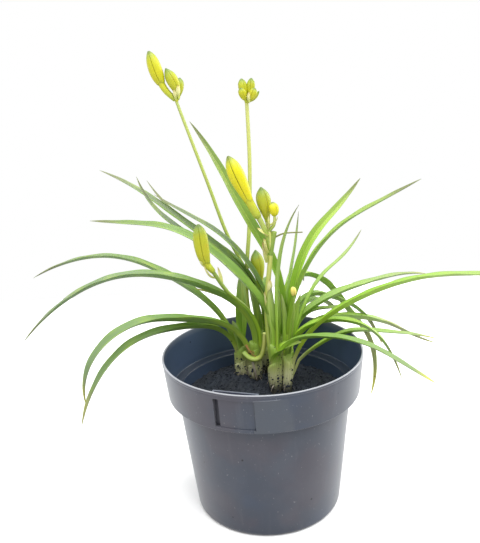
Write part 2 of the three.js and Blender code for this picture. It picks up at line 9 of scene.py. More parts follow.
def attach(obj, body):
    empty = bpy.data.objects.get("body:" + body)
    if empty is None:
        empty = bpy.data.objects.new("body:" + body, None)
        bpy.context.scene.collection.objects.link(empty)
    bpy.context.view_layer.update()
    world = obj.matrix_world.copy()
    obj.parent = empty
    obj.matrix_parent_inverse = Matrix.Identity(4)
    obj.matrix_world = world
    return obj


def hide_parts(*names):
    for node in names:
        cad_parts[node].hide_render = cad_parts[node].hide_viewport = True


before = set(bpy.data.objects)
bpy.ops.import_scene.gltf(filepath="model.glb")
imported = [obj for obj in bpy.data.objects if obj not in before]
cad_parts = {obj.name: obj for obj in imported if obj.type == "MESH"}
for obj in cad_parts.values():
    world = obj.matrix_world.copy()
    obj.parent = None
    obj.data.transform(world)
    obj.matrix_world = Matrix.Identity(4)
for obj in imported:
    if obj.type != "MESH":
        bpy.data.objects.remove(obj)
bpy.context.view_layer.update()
mm = 0.001


# small helpers

def lerp(a, b, t):
    return a + (b - a) * t


def clamp(x, low=0.0, high=1.0):
    return min(max(x, low), high)


def smooth(low, high, x):
    t = clamp((x - low) / (high - low))
    return t * t * (3 - 2 * t)


def evenSteps(values, t):  # reads values set at even steps from 0 to 1
    place = clamp(t) * (len(values) - 1)
    before = min(int(place), len(values) - 2)
    return lerp(values[before], values[before + 1], place - before)


def flatDirection(degrees):
    return Vector((math.cos(math.radians(degrees)), math.sin(math.radians(degrees)), 0))


def smoothRoute(points, spacing):  # centripetal curve through the points, at even steps
    knots = [Vector(point) for point in points]
    knots = [knots[0] * 2 - knots[1]] + knots + [knots[-1] * 2 - knots[-2]]
    fine = []
    for a, b, c, d in zip(knots, knots[1:], knots[2:], knots[3:]):
        times = [0.0]
        for one, two in ((a, b), (b, c), (c, d)):
            times.append(times[-1] + max((two - one).length, 1e-6) ** 0.5)
        for step in range(24):
            t = lerp(times[1], times[2], step / 24)
            level = [a, b, c, d]
            for depth in (1, 2, 3):
                level = [
                    level[i].lerp(level[i + 1], (t - times[lo]) / (times[hi] - times[lo]))
                    for i, (lo, hi) in enumerate(
                        {1: ((0, 1), (1, 2), (2, 3)), 2: ((0, 2), (1, 3)), 3: ((1, 2),)}[depth]
                    )
                ]
            fine.append(level[0])
    fine.append(knots[-2])
    reach = [0.0]
    for one, two in zip(fine, fine[1:]):
        reach.append(reach[-1] + (two - one).length)
    count = max(3, round(reach[-1] / spacing))
    route, at = [], 0
    for step in range(count + 1):
        goal = reach[-1] * step / count
        while at < len(fine) - 2 and reach[at + 1] < goal:
            at += 1
        route.append(fine[at].lerp(fine[at + 1], clamp((goal - reach[at]) / (reach[at + 1] - reach[at]))))
    return route, reach[-1]


def carriedFrames(route, start=(0, 1, 0)):  # side and up at each point, without twist
    side, frames = Vector(start), []
    for index, place in enumerate(route):
        along = (route[min(index + 1, len(route) - 1)] - route[max(index - 1, 0)]).normalized()
        side = (side - along * side.dot(along)).normalized()
        frames.append((place, side, along.cross(side)))
    return frames


# nodes

def linear(code):
    parts = [int(code[i:i + 2], 16) / 255 for i in (1, 3, 5)]
    return tuple(c / 12.92 if c <= 0.04045 else ((c + 0.055) / 1.055) ** 2.4 for c in parts) + (1.0,)


def setInputs(tree, node, links):
    for label, value in links.items():
        value = getattr(value, "socket", value)
        if isinstance(value, bpy.types.NodeSocket):
            tree.links.new(value, node.inputs[label])
        else:
            node.inputs[label].default_value = value


def addNode(tree, kind, links=None, **settings):
    node = tree.nodes.new(kind)
    for name, value in settings.items():
        setattr(node, name, value)
    setInputs(tree, node, links or {})
    return node


class Flow:  # a number inside a tree, so that sums of such numbers read as sums
    def __init__(self, tree, socket):
        self.tree, self.socket = tree, socket

    def __add__(self, other):
        return calc(self.tree, "ADD", self, other)

    def __sub__(self, other):
        return calc(self.tree, "SUBTRACT", self, other)

    def __rsub__(self, other):
        return calc(self.tree, "SUBTRACT", other, self)

    def __mul__(self, other):
        return calc(self.tree, "MULTIPLY", self, other)

    def __truediv__(self, other):
        return calc(self.tree, "DIVIDE", self, other)

    def __pow__(self, other):
        return calc(self.tree, "POWER", self, other)

    def __lt__(self, other):
        return calc(self.tree, "LESS_THAN", self, other)

    def __abs__(self):
        return calc(self.tree, "ABSOLUTE", self)


class Outputs:  # a node's outputs by name
    def __init__(self, tree, node):
        self.tree, self.node = tree, node

    def __getitem__(self, name):
        return Flow(self.tree, self.node.outputs[name])


def calc(tree, operation, *values, clamped=False):
    node = addNode(tree, "ShaderNodeMath", dict(enumerate(values)), operation=operation, use_clamp=clamped)
    return Flow(tree, node.outputs[0])


def vectorCalc(tree, operation, first, second=None, scale=None):
    links = {0: first}
    if second is not None:
        links[1] = second
    if scale is not None:
        links["Scale"] = scale
    return addNode(tree, "ShaderNodeVectorMath", links, operation=operation).outputs[0]


def joinVector(tree, x, y, z):
    return addNode(tree, "ShaderNodeCombineXYZ", {0: x, 1: y, 2: z}).outputs[0]


def remap(tree, value, low, high, newLow=0.0, newHigh=1.0):
    links = {0: value, 1: low, 2: high, 3: newLow, 4: newHigh}
    return Flow(tree, addNode(tree, "ShaderNodeMapRange", links, interpolation_type="SMOOTHSTEP").outputs[0])


def blend(tree, factor, a, b, mode="MIX"):  # a and b are colour codes or colours from the tree
    a, b = [linear(colour) if isinstance(colour, str) else colour for colour in (a, b)]
    node = addNode(tree, "ShaderNodeMix", {0: factor, 6: a, 7: b}, data_type="RGBA", blend_type=mode)
    return node.outputs[2]


def ramp(tree, factor, *stops):
    node = addNode(tree, "ShaderNodeValToRGB", {0: factor})
    band = node.color_ramp
    while len(band.elements) < len(stops):
        band.elements.new(0.5)
    for element, (place, colour) in zip(band.elements, stops):
        element.position = place
        element.color = linear(colour)
    return node.outputs[0]


def newGroup(name, kind, inputs, outputs):
    group = bpy.data.node_groups.new(name, kind)
    for way, sockets in (("INPUT", inputs), ("OUTPUT", outputs)):
        for label, socketType, *value in sockets:
            socket = group.interface.new_socket(label, in_out=way, socket_type="NodeSocket" + socketType)
            if value:
                socket.default_value = value[0]
    return group, Outputs(group, group.nodes.new("NodeGroupInput"))


def useGroup(tree, group, links):
    return Outputs(tree, addNode(tree, "ShaderNodeGroup", links, node_tree=group))


def readMarks(tree, *names):  # values that the mesh carries
    return [Flow(tree, addNode(tree, "ShaderNodeAttribute", attribute_name=name).outputs["Fac"])
            for name in names]


def objectCoordinates(tree):
    return addNode(tree, "ShaderNodeTexCoord").outputs["Object"]


def mapped(tree, vector, **settings):
    return addNode(tree, "ShaderNodeMapping", {"Vector": vector, **settings}).outputs[0]


def noiseValue(tree, vector, scale, detail=3.0, rough=0.5):
    links = {"Vector": vector, "Scale": scale, "Detail": detail, "Roughness": rough}
    return Flow(tree, addNode(tree, "ShaderNodeTexNoise", links).outputs[0])


def newFinish(name):
    finish = bpy.data.materials.new(name)
    finish.use_nodes = True
    tree = finish.node_tree
    return finish, tree, tree.nodes["Principled BSDF"]


def bump(tree, height, strength, distance):
    links = {"Height": height, "Strength": strength, "Distance": distance * mm}
    return addNode(tree, "ShaderNodeBump", links).outputs[0]


def wire(tree, shader, colour, rough, normal, **fixed):
    setInputs(tree, shader, {"Base Color": colour, "Roughness": rough, "Normal": normal})
    setInputs(tree, shader, {label.replace("_", " "): value for label, value in fixed.items()})


# shared effects

def makeSpecks():  # scattered crumbs of dirt: a mask and a matching height
    group, given = newGroup(
        "dirtSpecks", "ShaderNodeTree",
        [("Vector", "Vector"), ("Spacing", "Float", 4.0), ("Amount", "Float", 0.5), ("Size", "Float", 0.12)],
        [("Mask", "Float"), ("Height", "Float")],
    )
    scale = calc(group, "DIVIDE", 1.0 / mm, given["Spacing"])
    warp = addNode(group, "ShaderNodeTexNoise", {"Vector": given["Vector"], "Scale": scale * 2.5, "Detail": 3.0})
    warp = vectorCalc(group, "SCALE", warp.outputs["Color"], scale=1.2 * mm)
    bent = vectorCalc(group, "ADD", given["Vector"], warp)
    cells = Outputs(group, addNode(group, "ShaderNodeTexVoronoi", {"Vector": bent, "Scale": scale}))
    pick = Outputs(group, addNode(group, "ShaderNodeSeparateColor", {0: cells["Color"]}))
    size = given["Size"] * (pick[1] + 0.35)
    inside = calc(group, "SUBTRACT", 1.0, cells["Distance"] / size, clamped=True)
    height = inside * (pick[0] < given["Amount"])
    addNode(group, "NodeGroupOutput", {"Height": height, "Mask": remap(group, height, 0.0, 0.35)})
    return group


def makeVeins():  # fine lines along a blade, petal or stalk
    group, given = newGroup(
        "lengthwiseVeins", "ShaderNodeTree",
        [("Across", "Float"), ("Along", "Float"), ("Lines", "Float", 9.0), ("Seed", "Float")],
        [("Line", "Float"), ("Streak", "Float"), ("Mottle", "Float")],
    )
    across, along, seed = given["Across"], given["Along"], given["Seed"]
    line = calc(group, "COSINE", across * (given["Lines"] * math.pi)) * 0.5 + 0.5
    flat = joinVector(group, across * 5.0, along * 12.0, seed)
    coarse = joinVector(group, across, along * 40.0, seed)
    addNode(group, "NodeGroupOutput", {
        "Line": line, "Streak": noiseValue(group, flat, 1.6, 4.0, 0.6), "Mottle": noiseValue(group, coarse, 1.2)})
    return group


dirtSpecks = makeSpecks()
lengthwiseVeins = makeVeins()


def veinsOn(tree, across, along, lines, seed):
    veins = useGroup(tree, lengthwiseVeins, {"Across": across, "Along": along, "Lines": lines, "Seed": seed})
    return veins["Line"], veins["Streak"], veins["Mottle"]


def specksOn(tree, place, spacing, size, amount):
    specks = useGroup(tree, dirtSpecks, {"Vector": place, "Spacing": spacing, "Size": size, "Amount": amount})
    return specks["Mask"], specks["Height"]


def edgeOn(tree, power):  # high where the surface turns away from the viewer
    facing = addNode(tree, "ShaderNodeLayerWeight", {"Blend": 0.5}).outputs["Facing"]
    return Flow(tree, facing) ** power


# finishes

leafLook = {
    "young": [(0.0, "#b4bb5c"), (0.06, "#a8c238"), (0.22, "#a0c732"), (0.5, "#9ec344"), (0.8, "#a6bd5e"),
              (1.0, "#9ea56a")],
    "mature": [(0.0, "#a5ae5a"), (0.07, "#91ac3e"), (0.3, "#769350"), (0.6, "#70855f"), (0.85, "#788371"),
               (1.0, "#7c8070")],
    # keel: the midrib's paler line, partly the leaf's own colour and partly a painted highlight along the fold
    "foot": "#9a9d68", "footLine": "#7f8752", "shaded": "#5b8624", "keel": "#bfd472", "yellowish": "#b3c23c",
    "tip": "#757a55", "tipYellow": "#cfc94c", "speck": "#23221e", "gloss": 0.34,
    "paleTop": 0.117, "paleFull": 0.105,  # heights between which the foot turns pale
}


def makeLeafFinish():
    finish, tree, shader = newFinish("leafBlade")
    look, place = leafLook, objectCoordinates(tree)
    share, across, along, tone, dry, seed, lightness, gold = readMarks(
        tree, "share", "across", "along", "tone", "dry", "seed", "lightness", "gold")
    line, streak, mottle = veinsOn(tree, across, along, 5.0, seed)
    height = Flow(tree, addNode(tree, "ShaderNodeSeparateXYZ", {0: place}).outputs[2])
    colour = blend(tree, tone, ramp(tree, share, *look["young"]), ramp(tree, share, *look["mature"]))
    lit = lightness * (streak * 0.36 + 0.82)
    shade = addNode(tree, "ShaderNodeCombineColor", {0: lit, 1: lit, 2: lit}).outputs[0]
    colour = blend(tree, 1.0, colour, shade, "MULTIPLY")
    colour = blend(tree, remap(tree, mottle, 0.5, 0.75, 0.0, 0.35), colour, look["yellowish"])
    half = remap(tree, across * calc(tree, "SIGN", calc(tree, "SINE", seed)), -0.1, 0.1)
    colour = blend(tree, half * 0.3, colour, look["shaded"])
    # a paler line along the keel: partly the midrib's own colour, partly a painted highlight on the fold
    colour = blend(tree, (1 - abs(across)) ** 14.0 * 0.5, colour, look["keel"])
    colour = blend(tree, (1 - line) * 0.12, colour, look["shaded"])
    colour = blend(tree, remap(tree, abs(across), 0.78, 1.0, 0.0, 0.6), colour, look["shaded"])
    colour = blend(tree, edgeOn(tree, 3.0) * 0.35, colour, look["shaded"])
    low = remap(tree, streak * 0.012 + height, look["paleTop"], look["paleFull"])
    colour = blend(tree, low * 0.85, colour, blend(tree, 1 - line, look["foot"], look["footLine"]))
    start = 1.04 - dry
    tired = remap(tree, streak * 0.1 + share, start - 0.09, start + 0.05)
    colour = blend(tree, tired, colour, blend(tree, gold, look["tip"], look["tipYellow"]))
    amount = remap(tree, share, 0.0, 0.35, 0.1, 0.01) + remap(tree, height, 0.125, 0.1, 0.0, 0.3)
    colour = blend(tree, specksOn(tree, place, 3.0, 0.2, amount)[0], colour, look["speck"])
    wire(tree, shader, colour, streak * 0.2 + look["gloss"], bump(tree, line * 0.3 + streak, 0.15, 0.1),
         Subsurface_Weight=0.15, Subsurface_Radius=(0.7, 1.0, 0.15), Subsurface_Scale=0.0013,
         Specular_IOR_Level=0.38)
    return finish


sheathLook = {
    "rise": [(0.0, "#7d7d66"), (0.2, "#a0a07a"), (0.45, "#b4b686"), (0.7, "#a8b266"), (0.95, "#85a83a")],
    "rib": "#6f7a44", "inner": "#86983f", "grime": "#2f2d2a", "speck": "#211f1d",
}


def makeSheathFinish():
    finish, tree, shader = newFinish("paleSheath")
    look, place = sheathLook, objectCoordinates(tree)
    rise, around, along, tone = readMarks(tree, "share", "across", "along", "tone")
    line, streak, _ = veinsOn(tree, around, along, 26.0, tone)
    colour = ramp(tree, streak * 0.24 + (rise - 0.12), *look["rise"])
    colour = blend(tree, (1 - line) ** 3.0 * 0.4, colour, look["rib"])
    colour = blend(tree, tone * 0.35, colour, look["inner"])
    cloud = noiseValue(tree, place, 420.0, 4.0, 0.65)
    colour = blend(tree, remap(tree, cloud * 0.7 + rise, 0.62, 0.36) * 0.85, colour, look["grime"])
    amount = remap(tree, cloud, 0.42, 0.56) * remap(tree, rise, 0.1, 1.0, 0.9, 0.25)
    mask, height = specksOn(tree, place, 1.9, 0.33, amount)
    colour = blend(tree, mask, colour, look["speck"])
    wire(tree, shader, colour, streak * 0.25 + 0.35, bump(tree, line + height * 1.5, 0.5, 0.2),
         Subsurface_Weight=0.15, Subsurface_Radius=(0.8, 1.0, 0.3), Subsurface_Scale=0.001)
    return finish


scapeLook = {
    "rise": [(0.0, "#86a83a"), (0.35, "#aabd4a"), (0.8, "#c9cd68"), (1.0, "#cdd078")],
    # edge is painted shade for the sides of the stalk that turn away from view
    "stripe": "#dbe394", "leafy": "#7fa03a", "dry": "#77793f", "blush": "#a59c4a", "edge": "#73842f",
    "speck": "#5a4a2c",
}


def makeScapeFinish():
    finish, tree, shader = newFinish("flowerStem")
    look = scapeLook
    share, around, along, tone = readMarks(tree, "share", "across", "along", "tone")
    line, _, mottle = veinsOn(tree, around, along, 4.0, tone)
    colour = ramp(tree, share, *look["rise"])
    colour = blend(tree, line * 0.35, colour, look["stripe"])
    colour = blend(tree, remap(tree, tone, 0.0, 0.7), colour, look["leafy"])
    colour = blend(tree, remap(tree, tone, 0.75, 0.85), colour, look["dry"])
    colour = blend(tree, remap(tree, mottle, 0.5, 0.75, 0.0, 0.25), colour, look["blush"])
    # painted shade: the sides of the stalk that turn away from view are darkened to olive
    colour = blend(tree, edgeOn(tree, 1.6) * 0.75, colour, look["edge"])
    colour = blend(tree, specksOn(tree, objectCoordinates(tree), 5.0, 0.08, 0.05)[0], colour, look["speck"])
    wire(tree, shader, colour, mottle * 0.2 + 0.38, bump(tree, line, 0.12, 0.15),
         Subsurface_Weight=0.1, Subsurface_Radius=(0.7, 1.0, 0.2), Subsurface_Scale=0.001)
    return finish


bractLook = [(0.0, "#b3bf52"), (0.3, "#d3d47e"), (0.7, "#e6e2a4"), (0.9, "#d3c27c"), (1.0, "#957548")]


def makeBractFinish():
    finish, tree, shader = newFinish("paperyBract")
    share, across, along, seed = readMarks(tree, "share", "across", "along", "seed")
    line, streak, _ = veinsOn(tree, across, along, 6.0, seed)
    colour = ramp(tree, streak * 0.2 + (share - 0.1), *bractLook)
    wire(tree, shader, colour, streak * 0.3 + 0.45, bump(tree, line, 0.5, 0.12),
         Subsurface_Weight=0.2, Subsurface_Radius=(1.0, 0.9, 0.5), Subsurface_Scale=0.0008)
    return finish


budLook = {
    "ripe": [(0.0, "#c8c935"), (0.06, "#d9d424"), (0.25, "#e4da16"), (0.76, "#ddd61c"), (0.89, "#b9c030"),
             (0.95, "#8b983a"), (1.0, "#5d6d38")],
    "green": [(0.0, "#9db03e"), (0.1, "#a9b232"), (0.4, "#b0b52e"), (0.68, "#9eab32"), (0.86, "#6f8b36"),
              (1.0, "#4d6c34")],
    "tube": [(0.0, "#a3b23c"), (0.1, "#b8c23e"), (0.3, "#cbcc36"), (1.0, "#d4d03a")],
    # edge is painted shade for the sides of a bud that turn away from view
    "suture": "#6d6c22", "warm": "#c9a428", "edge": "#8d9630", "cream": "#f0dc86",
}


def makeBudFinish():
    finish, tree, shader = newFinish("budPetals")
    look = budLook
    share, petal, seam, ripe, around, along = readMarks(
        tree, "share", "petal", "seam", "ripe", "across", "along")
    line, _, mottle = veinsOn(tree, around, along, 7.0, ripe)
    place = mottle * 0.12 + (petal - 0.06)
    colour = blend(tree, ripe, ramp(tree, place, *look["green"]), ramp(tree, place, *look["ripe"]))
    cloud = noiseValue(tree, objectCoordinates(tree), 160.0, 3.0, 0.6)
    colour = blend(tree, remap(tree, cloud, 0.52, 0.78, 0.0, 0.3), colour, look["warm"])
    colour = blend(tree, remap(tree, petal, 0.02, 0.0), colour, ramp(tree, share, *look["tube"]))
    colour = blend(tree, remap(tree, ripe, 1.0, 1.5), colour, look["cream"])
    brim = remap(tree, petal, 0.0, 0.015) * remap(tree, petal, 0.06, 0.02)
    colour = blend(tree, brim * 0.2, colour, look["suture"])
    # painted shade: the sides of each bud that turn away from view are darkened to olive
    colour = blend(tree, edgeOn(tree, 2.0) * 0.6, colour, look["edge"])
    colour = blend(tree, seam * remap(tree, ripe, 0.0, 1.0, 0.3, 0.75), colour, look["suture"])
    wire(tree, shader, colour, cloud * 0.2 + 0.34, bump(tree, line * 0.5 + cloud, 0.15, 0.15),
         Subsurface_Weight=0.1, Subsurface_Radius=(1.0, 0.8, 0.1), Subsurface_Scale=0.0014,
         Specular_IOR_Level=0.4)
    return finish


potLook = {
    "outside": "#404653", "blue": "#3d4759", "brown": "#494650", "dust": "#7d7f86", "scuff": "#9a9ca1",
    # edge is a painted highlight for the rim's top and the inner ledge
    # inside is painted light: the inner walls, the same plastic, are given a lighter, bluer colour
    # turned is a painted sheen: the lighter colour the outside takes where it turns away from view
    "inside": "#43536b", "edge": "#a3a5aa", "turned": "#c6c8cc", "soil": "#1a212c", "raised": "#53585e",
    "speck": "#1e1f23",
}


def makePotFinish():
    finish, tree, shader = newFinish("nurseryPlastic")
    look, place = potLook, objectCoordinates(tree)
    inner, edge, soiled, raised = readMarks(tree, "inner", "edge", "soiled", "raised")
    outer = 1 - inner
    cloud = noiseValue(tree, place, 26.0, 5.0, 0.55)
    fine = noiseValue(tree, place, 900.0, 3.0, 0.6)
    drift = noiseValue(tree, vectorCalc(tree, "ADD", place, (0.37, 0.11, 0.02)), 19.0)
    streak = noiseValue(tree, mapped(tree, place, Scale=(220.0, 220.0, 14.0)), 1.0)
    scratch = noiseValue(
        tree, mapped(tree, place, Rotation=(0.5, 0.3, 0.2), Scale=(700.0, 60.0, 500.0)), 1.0, 2.0)
    colour = blend(tree, remap(tree, drift, 0.5, 0.38, 0.0, 0.8), look["outside"], look["blue"])
    colour = blend(tree, remap(tree, drift, 0.5, 0.64, 0.0, 0.8), colour, look["brown"])
    # painted light: the inside walls take a lighter, bluer colour than the same plastic outside
    colour = blend(tree, inner, colour, look["inside"])
    colour = blend(tree, remap(tree, cloud, 0.42, 0.72, 0.0, 0.12) * outer, colour, look["dust"])
    colour = blend(tree, raised * 0.5, colour, look["raised"])
    colour = blend(tree, remap(tree, streak, 0.55, 0.8, 0.0, 0.1) * outer, colour, look["dust"])
    colour = blend(tree, remap(tree, scratch, 0.69, 0.75, 0.0, 0.35) * outer, colour, look["scuff"])
    mask, height = specksOn(tree, place, 9.0, 0.09, 0.2)
    colour = blend(tree, mask, colour, look["speck"])
    # painted highlight along the rim's top and, fainter, the inner ledge
    colour = blend(tree, edge * 0.8, colour, look["edge"])
    # painted reflection: the outside lightens where it turns away from view, as a sheen
    colour = blend(tree, edgeOn(tree, 3.0) * 0.75 * outer, colour, look["turned"])
    colour = blend(tree, soiled * 0.85, colour, look["soil"])
    wire(tree, shader, colour, cloud * 0.2 + 0.2 + fine * 0.08, bump(tree, fine * 0.6 + height * 2.0, 0.2, 0.1))
    return finish


peatLook = {"damp": [(0.25, "#0d141c"), (0.5, "#111924"), (0.75, "#161f2b")], "dry": "#35322f"}


def makePeatFinish():
    finish, tree, shader = newFinish("dampPeat")
    place = objectCoordinates(tree)
    cloud = noiseValue(tree, place, 60.0, 4.0, 0.6)
    fine = noiseValue(tree, place, 700.0, 4.0, 0.7)
    colour = ramp(tree, cloud, *peatLook["damp"])
    colour = blend(tree, remap(tree, fine, 0.6, 0.8, 0.0, 0.1), colour, peatLook["dry"])
    wire(tree, shader, colour, fine * 0.3 + 0.6, bump(tree, fine, 0.5, 0.4))
    return finish


fibreLook = {"pale": [(0.1, "#a9a48c"), (0.5, "#8a8375"), (0.9, "#5b5044")], "brown": "#94703a"}


def makeFibreFinish():
    finish, tree, shader = newFinish("dryFibre")
    share, tone = readMarks(tree, "share", "tone")
    cloud = noiseValue(tree, objectCoordinates(tree), 500.0)
    colour = ramp(tree, cloud * 0.5 + share * 0.6, *fibreLook["pale"])
    colour = blend(tree, tone, colour, fibreLook["brown"])
    wire(tree, shader, colour, cloud * 0.3 + 0.5, bump(tree, cloud, 0.5, 0.2))
    return finish


leafBlade = makeLeafFinish()
paleSheath = makeSheathFinish()
flowerStem = makeScapeFinish()
paperyBract = makeBractFinish()
budPetals = makeBudFinish()
nurseryPlastic = makePotFinish()
dampPeat = makePeatFinish()
dryFibre = makeFibreFinish()
print("finishes made")


# pieces

def newPiece(name, points, edges, faces, marks):
    mesh = bpy.data.meshes.new(name)
    mesh.from_pydata([tuple(c * mm for c in point) for point in points], edges, faces)
    for label, values in marks.items():
        vectors = isinstance(values[0], Vector)
        attribute = mesh.attributes.new(label, "FLOAT_VECTOR" if vectors else "FLOAT", "POINT")
        flat = [c for value in values for c in value] if vectors else values
        attribute.data.foreach_set("vector" if vectors else "value", flat)
    piece = bpy.data.objects.new(name, mesh)
    bpy.context.scene.collection.objects.link(piece)
    return piece


def keepResult(piece, modifier, layers=True):  # what the modifier makes becomes the piece's own mesh
    view = bpy.context.evaluated_depsgraph_get()
    result = bpy.data.meshes.new_from_object(
        piece.evaluated_get(view), preserve_all_data_layers=layers, depsgraph=view)
    piece.modifiers.remove(modifier)
    old, piece.data = piece.data, result
    bpy.data.meshes.remove(old)
    result.name = piece.name


def applyTree(piece, tree, values):
    grower = piece.modifiers.new(tree.name, "NODES")
    grower.node_group = tree
    for socket in tree.interface.items_tree:
        if socket.item_type == "SOCKET" and socket.in_out == "INPUT" and socket.name in values:
            grower[socket.identifier] = values[socket.name]
    keepResult(piece, grower)
    return piece


def outwards(piece):
    work = bmesh.new()
    work.from_mesh(piece.data)
    bmesh.ops.recalc_face_normals(work, faces=work.faces)
    work.to_mesh(piece.data)
    work.free()


def evenNormals(piece):  # the largest faces round a corner set its shading
    weigh = piece.modifiers.new("evenNormals", "WEIGHTED_NORMAL")
    weigh.keep_sharp, weigh.weight = True, 100
    keepResult(piece, weigh)


def roundNormals(piece):  # walls round the upright axis are lit as if they had no facets
    shape = piece.data
    lit = [corner.vector.copy() for corner in shape.corner_normals]
    for face in shape.polygons:
        out = Vector((face.center.x, face.center.y, 0)).normalized()
        flat = Vector((face.normal.x, face.normal.y, 0))
        side = flat.dot(out)
        if abs(side) < 0.5 * (1 + flat.length * 0.8) or abs(side) < 0.997 * flat.length:
            continue
        for corner in face.loop_indices:
            place = shape.vertices[shape.loops[corner].vertex_index].co
            away = Vector((place.x, place.y, 0)).normalized() * math.copysign(1, side)
            rise = lit[corner].z
            lit[corner] = away * math.sqrt(max(0.0, 1 - rise * rise)) + Vector((0, 0, rise))
    shape.normals_split_custom_set(lit)


def finishPiece(piece, finish, slotName, sharp, *nodes, even=False):  # sharp: the least angle of a crease
    outwards(piece)
    shape = piece.data
    shape.polygons.foreach_set("use_smooth", [True] * len(shape.polygons))
    shape.set_sharp_from_angle(angle=math.radians(sharp))
    if even:
        evenNormals(piece)
        roundNormals(piece)
        shape = piece.data
    if not shape.materials:
        shape.materials.append(finish)
    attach(piece, "root")
    if nodes:
        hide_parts(*nodes)
    return piece


crumbShape = {"Smallest": 0.00025, "Largest": 0.0013}


def finishWithCrumbs(base, finish, slotName, sharp, node, name, density, seed):  # strewn where it has grit
    outwards(base)
    crumbs = base.copy()
    crumbs.data, crumbs.name = base.data.copy(), name
    bpy.context.scene.collection.objects.link(crumbs)
    finishPiece(base, finish, slotName, sharp, node)
    applyTree(crumbs, crumbScatter, {"Density": density, "Seed": seed, "Finish": dampPeat, **crumbShape})
    finishPiece(crumbs, dampPeat, "mix", 20)


class Skin:  # gathers closed lofts into one mesh
    def __init__(self):
        self.points, self.faces, self.marks = [], [], {}

    def add(self, rings, marks):
        first, count = len(self.points), len(rings[0])
        for ring in rings:
            self.points.extend(ring)
        for row in range(len(rings) - 1):
            for index in range(count):
                a = first + row * count + index
                b = first + row * count + (index + 1) % count
                self.faces.append((a, b, b + count, a + count))
        last = first + (len(rings) - 1) * count
        for start, ring in ((first, rings[0]), (last, rings[-1])):
            self.faces.extend(
                (len(self.points), start + index, start + (index + 1) % count) for index in range(count))
            self.points.append(sum(ring, Vector()) / count)
        for label, rows in marks.items():
            values = [value for row in rows for value in row]
            caps = [sum(rows[0]) / count, sum(rows[-1]) / count]
            self.marks.setdefault(label, []).extend(values + caps)

    def addRows(self, rows):  # each row is a ring of places with the marks that they carry
        marks = {label: [[carried[label] for _, carried in row] for row in rows] for label in rows[0][0][1]}
        self.add([[place for place, _ in row] for row in rows], marks)

    def piece(self, name):
        return newPiece(name, self.points, [], self.faces, self.marks)


class Spines:  # gathers lines that a tree sweeps a section along
    def __init__(self):
        self.points, self.edges, self.marks = [], [], {}

    def add(self, stations, shared):
        first = len(self.points)
        for station in stations:
            self.points.append(station["place"])
            for label, value in {**shared, **station, "place": station["place"] * mm}.items():
                self.marks.setdefault(label, []).append(value)
        self.edges.extend((i, i + 1) for i in range(first, len(self.points) - 1))

    def piece(self, name):
        return newPiece(name, self.points, self.edges, [], self.marks)


# trees that sweep a section along each line

def named(tree, label, vector=False):
    kind = "FLOAT_VECTOR" if vector else "FLOAT"
    node = addNode(tree, "GeometryNodeInputNamedAttribute", {"Name": label}, data_type=kind)
    return Flow(tree, node.outputs["Attribute"])


def store(tree, geometry, label, value):
    node = addNode(tree, "GeometryNodeStoreNamedAttribute", {"Geometry": geometry, "Name": label, "Value": value},
                   data_type="FLOAT", domain="POINT")
    return node.outputs[0]


def sweptSection(tree, given, count):  # the lines as tubes whose points know their place round the section
    lines = addNode(tree, "GeometryNodeMeshToCurve", {"Mesh": given["Lines"]}).outputs[0]
    ring = addNode(tree, "GeometryNodeCurvePrimitiveCircle", {"Resolution": count, "Radius": 0.001}).outputs[0]
    ring = store(tree, ring, "corner", addNode(tree, "GeometryNodeInputIndex").outputs[0])
    tube = addNode(tree, "GeometryNodeCurveToMesh", {"Curve": lines, "Profile Curve": ring, "Fill Caps": True})
    return tube.outputs[0]


def setSection(tree, geometry, x, y):
    place = named(tree, "place", True)
    for direction, distance in (("side", x), ("up", y)):
        step = vectorCalc(tree, "SCALE", named(tree, direction, True), scale=distance)
        place = vectorCalc(tree, "ADD", place, step)
    return addNode(tree, "GeometryNodeSetPosition", {"Geometry": geometry, "Position": place}).outputs[0]


def endTree(tree, geometry, finish):
    whole = addNode(tree, "GeometryNodeRealizeInstances", {0: geometry}).outputs[0]
    whole = addNode(tree, "GeometryNodeSetMaterial", {"Geometry": whole, "Material": finish}).outputs[0]
    addNode(tree, "NodeGroupOutput", {"Geometry": whole})


def root(value):
    return calc(value.tree, "SQRT", value)


def makeBladeSweep():  # a folded strap: rounded keel, thin margins that ripple a little
    tree, given = newGroup(
        "bladeSweep", "GeometryNodeTree",
        [("Lines", "Geometry"), ("Across", "Int", 12), ("Thickness", "Float", 0.0005), ("Margin", "Float", 0.35),
         ("Keel", "Float", 0.12), ("Ripple Height", "Float", 0.0003), ("Ripple Length", "Float", 0.02),
         ("Finish", "Material")],
        [("Geometry", "Geometry")],
    )
    keel, margin = given["Keel"], given["Margin"]
    shape = sweptSection(tree, given, given["Across"] * 2)
    turn = named(tree, "corner") / given["Across"]
    across = 1 - calc(tree, "PINGPONG", turn, 1.0) * 2
    face = (turn < 1) * 2 - 1
    bow = root(across * across + keel * keel)
    span = root(keel * keel + 1) - keel
    lift = (bow - keel) / span
    slope = across / bow / span
    reach, rise = named(tree, "reach"), named(tree, "rise")
    outX = rise * slope * -1
    size = root(outX * outX + reach * reach)
    away = abs(across)
    body = margin + (1 - margin) * (1 - away)
    rounding = root(1 - away ** 10)
    half = given["Thickness"] * 0.5 * (body * rounding) * (face * named(tree, "thick"))
    phase = named(tree, "along") * math.tau / given["Ripple Length"] + (across * 1.9 + named(tree, "seed"))
    ripple = calc(tree, "SINE", phase) * (away * away) * (given["Ripple Height"] * named(tree, "free"))
    x = reach * across + half * outX / size
    y = rise * (lift - 0.5) + half * reach / size
    shape = store(tree, shape, "across", across)
    endTree(tree, setSection(tree, shape, x, y + ripple), given["Finish"])
    return tree


